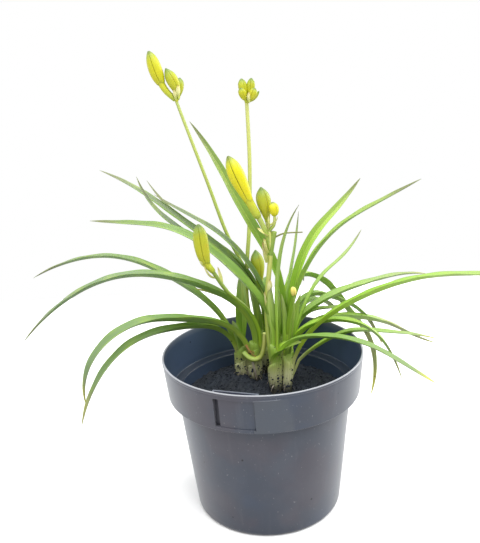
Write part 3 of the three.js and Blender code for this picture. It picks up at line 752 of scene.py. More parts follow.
def makeStemSweep():  # a round stalk with faint ridges
    tree, given = newGroup(
        "stemSweep", "GeometryNodeTree",
        [("Lines", "Geometry"), ("Sides", "Int", 16), ("Ridges", "Float", 5.0), ("Ridge Depth", "Float", 0.03),
         ("Finish", "Material")],
        [("Geometry", "Geometry")],
    )
    shape = sweptSection(tree, given, given["Sides"])
    turn = named(tree, "corner") / given["Sides"]
    angle = turn * math.tau
    wave = calc(tree, "COSINE", angle * given["Ridges"])
    radius = named(tree, "girth") * (wave * given["Ridge Depth"] + 1)
    shape = store(tree, shape, "across", calc(tree, "PINGPONG", turn * 2, 1.0))
    shape = setSection(tree, shape, calc(tree, "COSINE", angle) * radius, calc(tree, "SINE", angle) * radius)
    endTree(tree, shape, given["Finish"])
    return tree


def makeCrumbScatter():  # small lumps over a surface, thick where its "grit" mark is high
    tree, given = newGroup(
        "crumbScatter", "GeometryNodeTree",
        [("Surface", "Geometry"), ("Density", "Float", 100000.0), ("Smallest", "Float", 0.0002),
         ("Largest", "Float", 0.0007), ("Seed", "Int", 3), ("Finish", "Material")],
        [("Geometry", "Geometry")],
    )

    def randomValue(kind, links):
        return addNode(tree, "FunctionNodeRandomValue", links, data_type=kind).outputs

    points = addNode(tree, "GeometryNodeDistributePointsOnFaces", {
        "Mesh": given["Surface"], "Density": given["Density"] * named(tree, "grit"), "Seed": given["Seed"]})
    lump = addNode(tree, "GeometryNodeMeshIcoSphere", {"Radius": 1.0, "Subdivisions": 1}).outputs[0]
    spin = randomValue("FLOAT_VECTOR", {1: (math.tau,) * 3, "Seed": 11})[0]
    squash = randomValue("FLOAT_VECTOR", {0: (0.55, 0.7, 0.4), 1: (1.0, 1.5, 0.9), "Seed": 23})[0]
    bias = calc(tree, "POWER", randomValue("FLOAT", {"Seed": 37})[1], 2.2)
    reach = given["Smallest"] + bias * (given["Largest"] - given["Smallest"])
    placed = addNode(tree, "GeometryNodeInstanceOnPoints", {
        "Points": points.outputs["Points"], "Instance": lump, "Rotation": spin,
        "Scale": vectorCalc(tree, "SCALE", squash, scale=reach)}).outputs[0]
    endTree(tree, placed, given["Finish"])
    return tree


bladeSweep = makeBladeSweep()
stemSweep = makeStemSweep()
crumbScatter = makeCrumbScatter()
print("trees made")


# pot

potShape = {
    "height": 115, "rimRadius": 70, "bandHeight": 27.5, "bandFootRadius": 67.3, "shoulderRadius": 61,
    "baseRadius": 52.2, "baseCorner": 4, "wall": 1.4, "columns": 180,
    "drains": 6, "drainRadius": 4, "drainRing": 38, "stepRadius": 59.6,
}
potLedge = potShape["height"] - potShape["bandHeight"]  # where the body ends and the collar begins
potTaper = (potShape["shoulderRadius"] - potShape["baseRadius"]) / (potLedge - 1 - potShape["baseCorner"])

labelShape = {  # a window for a plant label: a groove, a panel beside it, and a housing with a slot in its top
    "heading": -108, "width": 27, "bottom": 90, "top": 110.5, "grooveWidth": 3.5, "grooveRadius": 63.5,
    "inset": 0.7, "housingTop": 113.4, "slotRadius": 66.2, "slotDepth": 2, "rounding": 0.00025,
}

plateShape = {  # raised beside the window; it fades out upwards and to the right
    "from": -97.5, "to": -75, "bottom": 88.0, "top": 111.5, "proud": (0.9, 0.9, 0.75, 0), "fade": 0.35,
}


def roundedPath(corners, arcSteps=6, longest=5.0):  # corners are (radius, height, rounding)
    path = []
    for index, (r, z, rounding) in enumerate(corners):
        here = Vector((r, z))
        if rounding <= 0:
            path.append(here)
            continue
        toBack = Vector(corners[index - 1][:2]) - here
        toNext = Vector(corners[index + 1][:2]) - here
        halfAngle = toBack.angle(toNext) / 2
        cut = min(rounding / math.tan(halfAngle), toBack.length * 0.48, toNext.length * 0.48)
        a, b = here + toBack.normalized() * cut, here + toNext.normalized() * cut
        for step in range(arcSteps + 1):
            t = step / arcSteps
            path.append(a * (1 - t) ** 2 + here * 2 * t * (1 - t) + b * t ** 2)
    filled = [path[0]]
    for point in path[1:]:
        pieces = max(1, math.ceil((point - filled[-1]).length / longest))
        start = filled[-1]
        filled.extend(start.lerp(point, (i + 1) / pieces) for i in range(pieces))
    return filled


def latheObject(name, path, headings, reliefAt=None):
    points, faces = [], []
    count = len(headings)
    for heading in headings:
        for r, z in path[1:-1]:
            extra = reliefAt(heading, r, z) if reliefAt else 0
            points.append(flatDirection(heading) * (r + extra) + Vector((0, 0, z)))
    rows = len(path) - 2
    for column in range(count):
        a, b = column * rows, (column + 1) % count * rows
        faces.extend((a + row, b + row, b + row + 1, a + row + 1) for row in range(rows - 1))
    for pole, row in ((path[0], 0), (path[-1], rows - 1)):
        faces.extend(
            (len(points), column * rows + row, (column + 1) % count * rows + row) for column in range(count))
        points.append(Vector((0, 0, pole[1])))
    return newPiece(name, points, [], faces, {})


def boxObject(name, low, high, heading):
    corners = [Vector((x, y, z)) for x in (low[0], high[0]) for y in (low[1], high[1]) for z in (low[2], high[2])]
    turned = [Matrix.Rotation(math.radians(heading), 3, "Z") @ corner for corner in corners]
    faces = [(0, 1, 3, 2), (4, 6, 7, 5), (0, 4, 5, 1), (2, 3, 7, 6), (0, 2, 6, 4), (1, 5, 7, 3)]
    return newPiece(name, turned, [], faces, {})


def combine(piece, tool, operation):
    outwards(tool)
    join = piece.modifiers.new("join", "BOOLEAN")
    join.operation, join.object, join.solver = operation, tool, "EXACT"
    keepResult(piece, join, layers=False)
    bpy.data.objects.remove(tool)


def bandAt(z):  # the collar's outer radius at a height
    return lerp(potShape["bandFootRadius"], potShape["rimRadius"], (z - potLedge) / potShape["bandHeight"])


def plateRelief(heading, r, z):
    s = plateShape
    across = (heading % 360 - 360 - s["from"]) / (s["to"] - s["from"])
    upwards = (z - s["bottom"]) / (s["top"] - s["bottom"])
    if not (0 < across < 1 and 0 < upwards < 1) or r < bandAt(z) - 0.7:
        return 0
    return evenSteps(s["proud"], across) * lerp(1, s["fade"], upwards)


def makeShell(headings):
    s, plate, ledge = potShape, plateShape, potLedge
    wall, rim, foot = s["wall"], s["rimRadius"], s["bandFootRadius"]
    flatFoot = s["baseRadius"] - s["baseCorner"] * potTaper
    corners = [(0, 0, 0), (flatFoot, 0, 3.6), (s["shoulderRadius"], ledge - 1, 1.2), (foot - 0.1, ledge, 0.5)]
    corners += [(bandAt(z + d), z + d, 0) for z in (plate["bottom"], plate["top"]) for d in (-0.15, 0.15)]
    corners += [
        (rim - 0.3, s["height"] - 1.9, 0.4), (rim, s["height"] - 1.5, 0.4),
        (rim, s["height"], 0.65), (rim - wall, s["height"], 0.5),
        (foot - wall, ledge + wall, 1.0), (s["shoulderRadius"] - wall, ledge + wall - 1, 1.0),
        (flatFoot - wall, wall, 3.0), (0, wall, 0),
    ]
    shell = latheObject("nurseryPot", roundedPath(corners), headings, plateRelief)
    outwards(shell)
    return shell


def collarCore(headings, inset):  # everything inside a surface that lies a little within the collar
    low, high = potLedge, potShape["height"]
    path = [(0, low), (bandAt(low) - inset, low), (bandAt(high) - inset, high), (0, high)]
    return latheObject("core", path, headings)


def addLabelWindow(shell, headings):
    s, wall, outside = labelShape, potShape["wall"], potShape["rimRadius"] + 2
    half, floor = s["width"] / 2, s["grooveRadius"]
    housing = boxObject("housing", (floor - wall, -half - wall, s["bottom"] - wall),
                        (potShape["rimRadius"], half + wall, s["housingTop"]), s["heading"])
    outwards(housing)
    combine(housing, collarCore(headings, s["inset"]), "INTERSECT")
    combine(shell, housing, "UNION")
    panel = boxObject("panel", (floor, -half, s["bottom"]), (outside, half, s["top"]), s["heading"])
    outwards(panel)
    combine(panel, collarCore(headings, s["inset"]), "DIFFERENCE")
    groove = boxObject("groove", (floor, -half, s["bottom"]), (outside, s["grooveWidth"] - half, s["top"]),
                       s["heading"])
    slot = boxObject("slot", (floor, -half, s["housingTop"] - s["slotDepth"]),
                     (s["slotRadius"], half, s["housingTop"] + 1), s["heading"])
    for tool in (panel, groove, slot):
        combine(shell, tool, "DIFFERENCE")


def roundWindowEdges(shell):
    s = labelShape
    work = bmesh.new()
    work.from_mesh(shell.data)
    bmesh.ops.remove_doubles(work, verts=work.verts, dist=0.00001)
    wide = s["width"] / 2 + potShape["wall"] + 1
    turn = Matrix.Rotation(-math.radians(s["heading"]), 3, "Z")
    near = []
    for edge in work.edges:
        if len(edge.link_faces) != 2 or edge.calc_face_angle(0) < math.radians(35):
            continue
        ends = [turn @ vertex.co / mm for vertex in edge.verts]
        if all(p.x > s["grooveRadius"] - 3 and abs(p.y) < wide and s["bottom"] - 2.5 < p.z < s["housingTop"] + 0.1
               for p in ends):
            near.append(edge)
    bmesh.ops.bevel(work, geom=near, offset=s["rounding"], segments=2, affect="EDGES", clamp_overlap=True)
    work.to_mesh(shell.data)
    work.free()


def markPot(shell):
    s, label, ledge = potShape, labelShape, potLedge
    turn = Matrix.Rotation(-math.radians(label["heading"]), 3, "Z")
    marks = {"inner": [], "edge": [], "soiled": [], "raised": []}
    for vertex in shell.data.vertices:
        p = vertex.co / mm
        r = math.hypot(p.x, p.y)
        wallLine = bandAt(p.z) if p.z > ledge else s["shoulderRadius"] - (ledge - 1 - p.z) * potTaper
        q = turn @ p
        inWindow = (q.x > label["grooveRadius"] - 0.3 and abs(q.y) < label["width"] / 2 + 0.3
                    and label["bottom"] - 0.4 < p.z < label["top"] + 0.4)
        onHousing = q.x > 55 and abs(q.y) < label["width"] / 2 + s["wall"] + 0.2 and 100 < p.z < 113.8
        # painted light: inner marks the inside walls for their lighter, bluer colour; the label window and most of
        # the housing are left out
        inner = 0.0 if inWindow or p.z < 1 else smooth(0.5, 1.2, wallLine - r) * (0.25 if onHousing else 1)
        # painted highlight: edge marks a light line on the rim's top and a fainter one on the inner ledge
        rimLine = smooth(114.3, 114.9, p.z) * (r > s["rimRadius"] - 1.6)
        stepLine = smooth(0.5, 0.0, abs(r - s["stepRadius"])) * smooth(0.8, 0.2, abs(p.z - ledge - 0.4)) * 0.25
        marks["inner"].append(inner)
        marks["edge"].append(max(rimLine, stepLine))
        marks["raised"].append(smooth(0.1, 0.3, plateRelief(math.degrees(math.atan2(p.y, p.x)), r, p.z)))
        marks["soiled"].append(smooth(1.2, 2.0, wallLine - r) * smooth(ledge + 3.5, ledge + 1.5, p.z) * (p.z > 60))
    for name, values in marks.items():
        shell.data.attributes.new(name, "FLOAT", "POINT").data.foreach_set("value", values)


def makePot():
    s, plate = potShape, plateShape
    headings = [360 * i / s["columns"] for i in range(s["columns"])]
    headings = sorted(headings + [plate["from"] % 360 + shift for shift in (-0.12, 0.12)])
    shell = makeShell(headings)
    addLabelWindow(shell, headings)
    for index in range(s["drains"]):
        middle = flatDirection(360 * index / s["drains"]) * s["drainRing"]
        ring = [middle + flatDirection(15 * i) * s["drainRadius"] for i in range(24)]
        plug = Skin()
        plug.add([[p + Vector((0, 0, z)) for p in ring] for z in (-3, 5)], {})
        combine(shell, plug.piece("drain"), "DIFFERENCE")
    roundWindowEdges(shell)
    markPot(shell)
    shell.data.materials.clear()
    finishPiece(shell, nurseryPlastic, "pot", 38, "pot", even=True)


makePot()
print("pot made")


# growing mix

mixShape = {
    "level": 79, "moundAt": (-15, 29), "moundHeight": 7.5, "moundSpread": 11, "crumb": 0.7,
    "rings": 64, "columns": 160, "crumbDensity": 260000.0,
}


def mixHeight(x, y):
    s = mixShape
    away = (x - s["moundAt"][0]) ** 2 + (y - s["moundAt"][1]) ** 2
    mound = s["moundHeight"] * math.exp(-away / (2 * s["moundSpread"] ** 2))
    lumps = math.sin(x * 0.61 + y * 0.23) * math.cos(y * 0.47 - x * 0.19)
    return s["level"] + mound + s["crumb"] * (lumps + 0.6 * math.sin(x * 1.3 - y * 1.1))


def peatHeight(x, y):
    rough = noise.fractal(Vector((x * 0.22, y * 0.22, 1.7)), 0.9, 2.1, 4) * 0.7
    pits = noise.noise(Vector((x * 0.9, y * 0.9, 4.1))) * 0.35
    return mixHeight(x, y) + rough + pits


def makePeat():
    s, p = mixShape, potShape

    def innerRadius(z):
        share = (z - p["baseCorner"]) / (potLedge - 1 - p["baseCorner"])
        return lerp(p["baseRadius"], p["shoulderRadius"], share) - p["wall"]

    def ringOf(radius, share=1):
        return [flatDirection(360 * i / s["columns"]) * radius * share for i in range(s["columns"])]

    edge = innerRadius(s["level"] - 2) - 0.25
    rows = []
    for radius, z in ((20, 1.7), (p["baseRadius"] - p["baseCorner"] - 1, 1.7),
                      (innerRadius(6) - 0.6, 6), (innerRadius(40) - 0.4, 40), (edge - 0.3, s["level"] - 3)):
        rows.append([(q + Vector((0, 0, z)), {"grit": 0.0}) for q in ringOf(radius)])
    for step in range(s["rings"]):
        rows.append([(q + Vector((0, 0, peatHeight(q.x, q.y))), {"grit": 1.0 if step else 0.0})
                     for q in ringOf(edge, 1 - step / s["rings"])])
    skin = Skin()
    skin.addRows(rows)
    finishWithCrumbs(skin.piece("peatBed"), dampPeat, "mix", 80, "growing_mix", "peatCrumbs",
                     s["crumbDensity"], 5)


makePeat()
print("growing mix made")


# fans of leaves

bladeShape = {
    "foot": 88, "straight": 12, "foldAtFoot": 22, "foldOpen": 60, "openFrom": 0.65, "clasp": 0.5, "fullFrom": 0.4,
    "taper": 4.5, "bractTaper": 3, "spacing": 2.4, "leastHalf": 0.14,
}
leafSweep = {"Across": 12, "Thickness": 0.0005, "Ripple Height": 0.00018, "Ripple Length": 0.024}
bractSweep = {**leafSweep, "Ripple Height": 0.0002, "Ripple Length": 0.008}

# leaf: x, y, heading, length, lean at even steps, width, roll, tone 0 lime to 1 deep, dry tip share, gold tip,
# and its taper where it isn't the usual one
# stem: foot radius, tip radius, tone, route          bract: x, y, z, heading, length, lean, width, roll
fans = {
    "left": {
        "node": "fan_left", "at": (-14, 27), "facing": 190, "neck": (10, 6, 102), "frays": 18, "lightness": 0.97,
        "leaves": [
            (-17, 26, 212, 165, (5, 75, 90, 135, 165), 10.5, 0, 0.95, 0.04, 0.3),
            (-17, 28, 168, 195, (5, 50, 65, 100, 120), 11, 0, 0.85, 0.1, 0.0),
            (-13.3, 29.6, 75, 62, (0, 8, 10), 12, 0, 0.4, -0.25, 0.0, 3),
            (-16, 25, 225, 30, (0, 20), 8, -20, 0.35, -0.25, 0.0),
        ],
        "stems": [], "bracts": [],
    },
    "leftFront": {
        "node": "fan_left_front", "at": (-5, 23), "facing": 195, "neck": (9, 6, 102), "frays": 12,
        "lightness": 0.97,
        "leaves": [
            (-8, 22, 205, 175, (5, 70, 80, 130, 190), 12.5, 0, 0.9, 0.04, 0.5),
            (-7, 24, 192, 215, (-15, 55, 75, 115, 140), 13.5, 0, 0.85, 0.06, 0.0, 3.5),
            (-5, 24, 190, 80, (-20, 45, 75), 8, -30, 0.1, 0.03, 0.8),
        ],
        "stems": [
            (1.5, 1.4, 0.5, ((-3, 25, 86), (-2, 26, 108), (-4, 26, 126), (-9, 25, 137), (-15, 23, 144),
                             (-22, 20, 152), (-30.7, 15.8, 168))),
            (2.0, 1.5, 0.0, ((-13, 20.5, 104.5), (-11, 19, 102.6), (-8.6, 18, 100.6), (-4.7, 17.5, 99.8),
                             (-0.9, 17, 101.6), (1.2, 16, 107), (2.2, 15, 113), (2.8, 14, 120))),
        ],
        "scraps": [
            (0.9, 0.3, 1.0, ((-11, 20, 110.5), (-9, 18.4, 107), (-6.4, 17.6, 103.6), (-4.5, 17.4, 102))),
            (0.6, 0.3, 1.0, ((-9.8, 19.4, 104), (-8, 18, 106.4), (-5.4, 17.5, 105))),
            (1.0, 0.5, 0.0, ((-6.8, 19, 97), (-5.6, 18.6, 91), (-4.6, 18, 84))),
        ],
        "bracts": [
            (-25, 18.7, 157, 140, 14, (20, 10), 4.5, 0),
            (-28.5, 16.8, 164, 215, 17, (85, 35, 10), 3.6, 0),
            (-35, 14, 172.5, 185, 14, (60, 15, 0), 4.5, 0),
        ],
    },
    "rear": {
        "node": "fan_rear", "at": (2, 38), "facing": 160, "neck": (11, 8, 104), "lightness": 0.72,
        "leaves": [
            (0, 38, 160, 200, (-25, 35, 55, 55, 70), 9.5, 10, 0.7, 0.06, 0.0),
            (1, 37, 165, 170, (-20, 30, 55, 55, 15), 8.5, 10, 0.8, 0.05, 0.0),
            (0, 39, 150, 170, (-20, 20, 60, 60, 35), 6, 0, 0.65, 0.1, 0.0),
            (1, 38, 158, 160, (-30, 20, 40, 65, 60), 7, 15, 0.85, 0.06, 0.0),
            (4, 40, 88, 110, (10, 45, 80, 110, 140), 9, 0, 0.5, 0.04, 0.0),
            (-1, 38, 185, 57, (0, 5, 12), 11, -50, 0.3, -0.25, 0.0, 3),
            (5, 37, -20, 50, (0, 0, 10), 10, -50, 0.2, -0.25, 0.0, 2),
        ],
        "stems": [
            (1.5, 1.1, 0.3, ((1, 41, 86), (3, 46, 134), (-8, 51, 158), (-20, 53, 185), (-32, 55, 224),
                             (-46, 57, 269), (-50, 58, 282))),
            (1.6, 1.3, 0.0, ((-1, 41, 86), (-8, 45, 136), (-7, 46, 162), (-4, 46, 189), (-2, 46, 218),
                             (-1, 46, 243), (-1, 46, 279))),
            (1.6, 1.5, 0.4, ((5, 41, 86), (4, 46, 120), (3, 48, 144))),
        ],
        "bracts": [
            (-48.6, 55.6, 285.5, 290, 9, (20, 0), 4.5, 0),
            (-50.5, 56.6, 284, 250, 8, (30, 5), 4, 0),
            (0.4, 43.6, 280, 280, 8, (30, 0), 4, 0),
        ],
    },
    "front": {
        "node": "fan_front", "at": (9, 6), "facing": 160, "neck": (8, 7, 106), "lightness": 1.12,
        "leaves": [
            (6, 8, 155, 205, (-20, 40, 55, 90, 90), 12, 15, 0.8, 0.06, 0.0, 3.2),
            (10, 5, -50, 125, (5, 0, 15, 40), 4, 30, 0.4, 0.05, 0.0, 3),
            (8.5, 4, -31, 132, (5, 72, 90, 115, 115), 7.5, 0, 0.75, 0.04, 0.8, 7),
            (7, 6, 200, 60, (-10, 10, -10), 10, -40, 0.1, 0.03, 0.0),
            (8, 7, 170, 50, (0, 2, 10), 9, -50, 0.1, -0.25, 0.0, 2),
            (10, 8, 20, 50, (0, 5, 10), 9, -60, 0.05, -0.25, 0.0, 2),
            (7.5, 4.5, -30, 34, (0, 55, 75), 14, -25, 0.0, -0.25, 0.0, 2),
        ],
        "stems": [
            (1.9, 1.6, 0.0, ((8, 8, 86), (5, 11, 126), (5, 10, 140), (6, 9, 155), (9, 8, 181), (9, 7.5, 195),
                             (8.3, 9.6, 202.6))),
            (1.7, 1.8, 0.35, ((9, 8, 184), (7, 7, 196), (2.3, 6, 207.4))),
            (1.2, 1.0, 0.1, ((9, 7.5, 198), (12.2, 5, 202.5), (12.8, 4, 208))),
            (1.9, 1.8, 0.5, ((9, 8, 181), (10.5, 7.5, 189), (12, 7, 196))),
            (0.6, 0.4, 0.9, ((12, 7, 193), (18, 7, 195.5), (30, 6, 196))),
        ],
        "bracts": [
            (8.5, 5, 195, 182, 10, (60, 45), 4.5, 30),
            (9.2, 4.6, 202.5, 182, 7, (20, -15), 2.8, 20),
            (8.8, 4.2, 202, 0, 9, (55, 60, 0), 2.8, 0),
            (7.5, 6, 183, 200, 11, (20, 10), 6, 40),
            (7, 7.5, 152, -60, 12, (15, 0), 5, 30),
            (6.4, 6.6, 176, 190, 15, (14, 4), 6.5, 50),
            (5.2, 8.4, 143, 215, 12, (10, 5), 5, 40),
        ],
    },
    "right": {
        "node": "fan_right", "at": (19, 15), "facing": 5, "neck": (7, 7, 106), "sway": (-2.3, -9.5),
        "leaves": [
            (16, 18, 168, 185, (-5, 5, 30, 25, 35), 10, 60, 0.4, 0.04, 0.0, 3),
            (19, 17, 65, 110, (-15, 20, 35, 15), 6, 40, 0.4, 0.05, 0.0, 3),
            (20, 15, 15, 145, (-5, 10, 20, 50, 40), 8.5, -40, 0.05, 0.04, 0.0),
            (20, 13, -28, 175, (-5, 15, 35, 60, 60), 8.5, -20, 0.3, 0.08, 0.0),
            (20, 16, 42, 120, (15, 35, 75, 45), 5, 0, 0.4, 0.03, 0.0),
            (21, 14, -12, 185, (20, 55, 70, 90, 95), 10.5, 0, 0.3, 0.02, 0.4),
            (22, 15, 4, 110, (50, 65, 100, 100, 110), 8, 0, 0.4, 0.06, 0.8, 3),
            (20, 14, -5, 125, (-5, 65, 105, 150, 165), 10, 0, 0.45, 0.06, 0.5, 3),
            (17, 14, 170, 50, (0, 0, 5), 10, -60, 0.1, -0.25, 0.0, 2),
            (21, 14, 10, 50, (0, 10, 20), 9, -60, 0.1, -0.25, 0.0, 2),
        ],
        "stems": [
            (0.7, 0.6, 0.6, ((20, 12.5, 104), (21.5, 5.5, 120), (23.2, 3, 140), (23.5, 2.5, 152))),
        ],
        "bracts": [],
    },
    "rightRear": {
        "node": "fan_right_rear", "at": (17, 29), "facing": 25, "neck": (10, 8, 104),
        "leaves": [
            (17, 30, 40, 235, (-15, 15, 120, 145, 135, 165, 205), 10, 0, 0.4, 0.05, 0.7),
            (18, 29, 30, 145, (10, 20, 115, 120, 145, 155), 10, 0, 0.45, 0.05, 0.7),
            (19, 27, 18, 140, (0, 60, 80, 85, 105), 12, 0, 0.5, 0.03, 0.3, 3),
            (19, 28, 26, 160, (25, 95, 110, 125, 115), 12, 0, 0.5, 0.05, 0.6),
            (18, 30, 45, 95, (20, 30, 100, 130, 160), 10, 0, 0.5, 0.04, 0.3),
            (19, 27, 14, 65, (15, 25, 95, 90), 8, 0, 0.3, 0.06, 0.5),
            (16, 31, 75, 130, (10, 50, 80, 110, 140), 9, 0, 0.6, 0.06, 0.0),
            (15, 29, 100, 50, (0, 5, 10), 10, 0, 0.3, -0.25, 0.0, 2),
        ],
        "stems": [], "bracts": [],
    },
}


swayShape = {"top": 104, "depth": 22}


def swayAt(fan, height):  # a leaning stalk stands off most at the soil and not at all at its top
    x, y = fan.get("sway", (0, 0))
    return Vector((x, y, 0)) * clamp((swayShape["top"] - height) / swayShape["depth"])


def leafSpine(fan, x, y, z, heading, length, lean, width, roll, straight, seed, taper):
    s = bladeShape
    outward, sideways = flatDirection(heading), flatDirection(heading - 90)

    def leanAt(t):
        spread = min(0.06, t, 1 - t)
        return (evenSteps(lean, t - spread) + 2 * evenSteps(lean, t) + evenSteps(lean, t + spread)) / 4

    def alongAt(degrees):
        return outward * math.sin(math.radians(degrees)) + Vector((0, 0, math.cos(math.radians(degrees))))

    stations, place, travelled = [], Vector((x, y, z)), 0.0

    def note(t, degrees):
        normal = sideways.cross(alongAt(degrees))
        wobble = 5 * math.sin(seed * 3.1 + t * 7) * min(1, t * 3) if length > 50 else 0
        turn = math.radians(roll * min(1, t * 2) + wobble)
        half = width / 2 * lerp(s["clasp"], 1, clamp(t / s["fullFrom"])) * (1 - t ** taper) ** 0.7
        half = max(half, s["leastHalf"])
        fold = math.radians(lerp(s["foldAtFoot"], s["foldOpen"], min(1, t / s["openFrom"])))
        stations.append({
            "place": place + swayAt(fan, place.z) * max(0, 1 - t * 8),
            "side": sideways * math.cos(turn) + normal * math.sin(turn),
            "up": normal * math.cos(turn) - sideways * math.sin(turn),
            "reach": half * math.sin(fold) * mm, "rise": half * math.cos(fold) * mm,
            "thick": clamp(half / 1.6, 0.35, 1.0),
            "free": smooth(0.1, 0.4, t) * smooth(1.0, 0.85, t) * clamp(width / 10),
            "share": t, "along": travelled * mm,
        })

    if straight:
        for step in range(4):
            note(0.0, lean[0] / 2 * step / 4)
            place += alongAt(lean[0] / 2) * straight / 4
            travelled += straight / 4
    steps = max(8, round(length / s["spacing"]))
    for step in range(steps + 1):
        t = step / steps
        note(t, leanAt(t))
        for chord in range(4):
            place += alongAt(leanAt((step + (chord + 0.5) / 4) / steps)) * length / steps / 4
        travelled += length / steps
    return stations


def stemSpine(footRadius, tipRadius, route, spacing=2.5):
    route = [Vector(point) for point in route]
    route.append(route[-1] + (route[-1] - route[-2]).normalized() * spacing * 0.5)
    places, length = smoothRoute(route, spacing)
    stations = []
    for index, (place, side, up) in enumerate(carriedFrames(places)):
        t = index / (len(places) - 1)
        stations.append({
            "place": place, "side": side, "up": up, "share": t, "along": t * length * mm,
            "girth": lerp(footRadius, tipRadius, t) * mm,
        })
    return stations


sheathShape = {
    "foot": 74, "layers": 4, "shrink": 0.08, "around": 56, "upwards": 26, "rib": 0.035, "ribs": 13,
    "paleFrom": 82, "paleHeight": 24, "gritFrom": 80, "gritFull": 84, "gritTop": 104, "crumbDensity": 330000.0,
}


def neckAxes(fan):  # half the neck's width and half its depth, as directions
    neckWidth, neckDepth, _ = fan["neck"]
    return flatDirection(fan["facing"]) * neckWidth / 2, flatDirection(fan["facing"] + 90) * neckDepth / 2


def addSheaths(skin, fan, draw):  # clasping leaf bases, each a little taller than the one round it
    s, top = sheathShape, fan["neck"][2]
    wide, deep = neckAxes(fan)
    for layer in range(s["layers"]):
        scale = 1.06 - s["shrink"] * layer
        reach = top - 2 + layer * 4
        dip = 5.5 - layer
        openSide = math.pi * (layer % 2) + draw.uniform(-0.5, 0.5)
        tilt = Vector((draw.uniform(-0.4, 0.4), draw.uniform(-0.4, 0.4), 0))
        seed = draw.uniform(0, 50)
        rows = []
        for row in range(s["upwards"] + 1):
            v = row / s["upwards"]
            close = smooth(0.9, 1.0, v) * 0.55
            swell = (0.9 + 0.22 * smooth(0.0, 0.6, v) - 0.08 * smooth(0.85, 1.0, v)) * (1 - close)
            ring = []
            for column in range(s["around"]):
                u = column / s["around"]
                turn = u * math.tau
                across, inward = math.cos(turn), math.sin(turn)
                height = reach - dip * (0.5 + 0.5 * math.cos(turn - openSide)) ** 1.5
                z = lerp(s["foot"], height, min(1, v / 0.96)) + 0.5 * close
                ribs = s["rib"] * math.cos(turn * s["ribs"] + seed) + 0.02 * math.cos(turn * 7 + seed * 2)
                uneven = 0.05 * noise.noise(Vector((across * 1.5, inward * 1.5, z * 0.09 + seed)))
                radius = scale * swell * (1 + ribs + uneven)
                clump = smooth(-0.1, 0.3, noise.noise(Vector((across * 2, inward * 2, z * 0.4))))
                gritty = s["gritFrom"] < z and v < 0.9
                place = Vector((*fan["at"], z)) + tilt * (v * 2) + swayAt(fan, z)
                ring.append((place + wide * across * radius + deep * inward * radius, {
                    "share": (z - s["paleFrom"]) / s["paleHeight"], "across": abs(2 * u - 1), "along": z * mm,
                    "tone": layer / s["layers"],
                    "grit": smooth(s["gritTop"], s["gritFull"], z) * clump if gritty else 0.0}))
            rows.append(ring)
        skin.addRows(rows)


def addFrays(spines, fan, draw, count):  # torn fibres and fine roots about the foot of a stalk
    wide, deep = neckAxes(fan)
    for _ in range(count):
        turn = draw.uniform(0, math.tau)
        out = wide * math.cos(turn) + deep * math.sin(turn)
        start = Vector((*fan["at"], draw.uniform(82, 92)))
        start += out * 0.98 + swayAt(fan, start.z)
        away = out.normalized()
        reach = draw.uniform(2.0, 5.0)
        side = Vector((-away.y, away.x, 0)) * draw.uniform(-1.6, 1.6)
        route = [start, start + away * reach * 0.35 + side * 0.3 + Vector((0, 0, -reach * 0.4)),
                 start + away * reach * 0.7 + side + Vector((0, 0, -reach * draw.uniform(0.7, 1.3)))]
        floor = mixHeight(route[-1].x, route[-1].y) - 0.4
        route[-1].z = max(route[-1].z, floor)
        spines.add(stemSpine(draw.uniform(0.2, 0.42), 0.1, route, 0.8), {"tone": 0.0, "seed": draw.random()})


def makeFan(name, fan, draw):
    s = bladeShape
    blades, bracts, stems, frays, sheaths = Spines(), Spines(), Spines(), Spines(), Skin()
    for x, y, heading, length, lean, width, roll, tone, dry, gold, *taper in fan["leaves"]:
        seed = draw.uniform(0, 20)
        blades.add(leafSpine(fan, x, y, s["foot"], heading, length, lean, width, roll, s["straight"], seed,
                             taper[0] if taper else s["taper"]),
                   {"tone": clamp(tone + draw.uniform(-0.15, 0.15)), "dry": dry, "gold": gold, "seed": seed,
                    "lightness": fan.get("lightness", 1.06) * draw.uniform(0.86, 1.12)})
    for x, y, z, heading, length, lean, width, roll in fan["bracts"]:
        bracts.add(leafSpine(fan, x, y, z, heading, length, lean, width, roll, 0, 1.0, s["bractTaper"]),
                   {"tone": 0.5, "dry": 0.2, "gold": 0.0, "seed": draw.uniform(0, 20)})
    for footRadius, tipRadius, tone, route in fan["stems"]:
        stems.add(stemSpine(footRadius, tipRadius, route), {"tone": tone})
    addSheaths(sheaths, fan, draw)
    addFrays(frays, fan, draw, fan.get("frays", 5))
    for footRadius, tipRadius, tone, route in fan.get("scraps", []):
        frays.add(stemSpine(footRadius, tipRadius, route, 0.8), {"tone": tone, "seed": 1.0})

    def grow(part, lines, tree, finish, values):
        piece = applyTree(lines.piece(name + part), tree, {**values, "Finish": finish})
        finishPiece(piece, finish, "leaf", 60, fan["node"])

    grow("Blades", blades, bladeSweep, leafBlade, leafSweep)
    finishWithCrumbs(sheaths.piece(name + "Stalk"), paleSheath, "leaf", 60, fan["node"], name + "Crumbs",
                     sheathShape["crumbDensity"], draw.randrange(100))
    grow("Frays", frays, stemSweep, dryFibre, {"Sides": 6, "Ridges": 3.0, "Ridge Depth": 0.1})
    if fan["stems"]:
        grow("Stems", stems, stemSweep, flowerStem, {"Sides": 18})
    if fan["bracts"]:
        grow("Bracts", bracts, bladeSweep, paperyBract, bractSweep)


fanDraw = random.Random(41)
for fanName, fanRow in fans.items():
    makeFan(fanName, fanRow, fanDraw)
    print("fan made:", fanName)


# buds

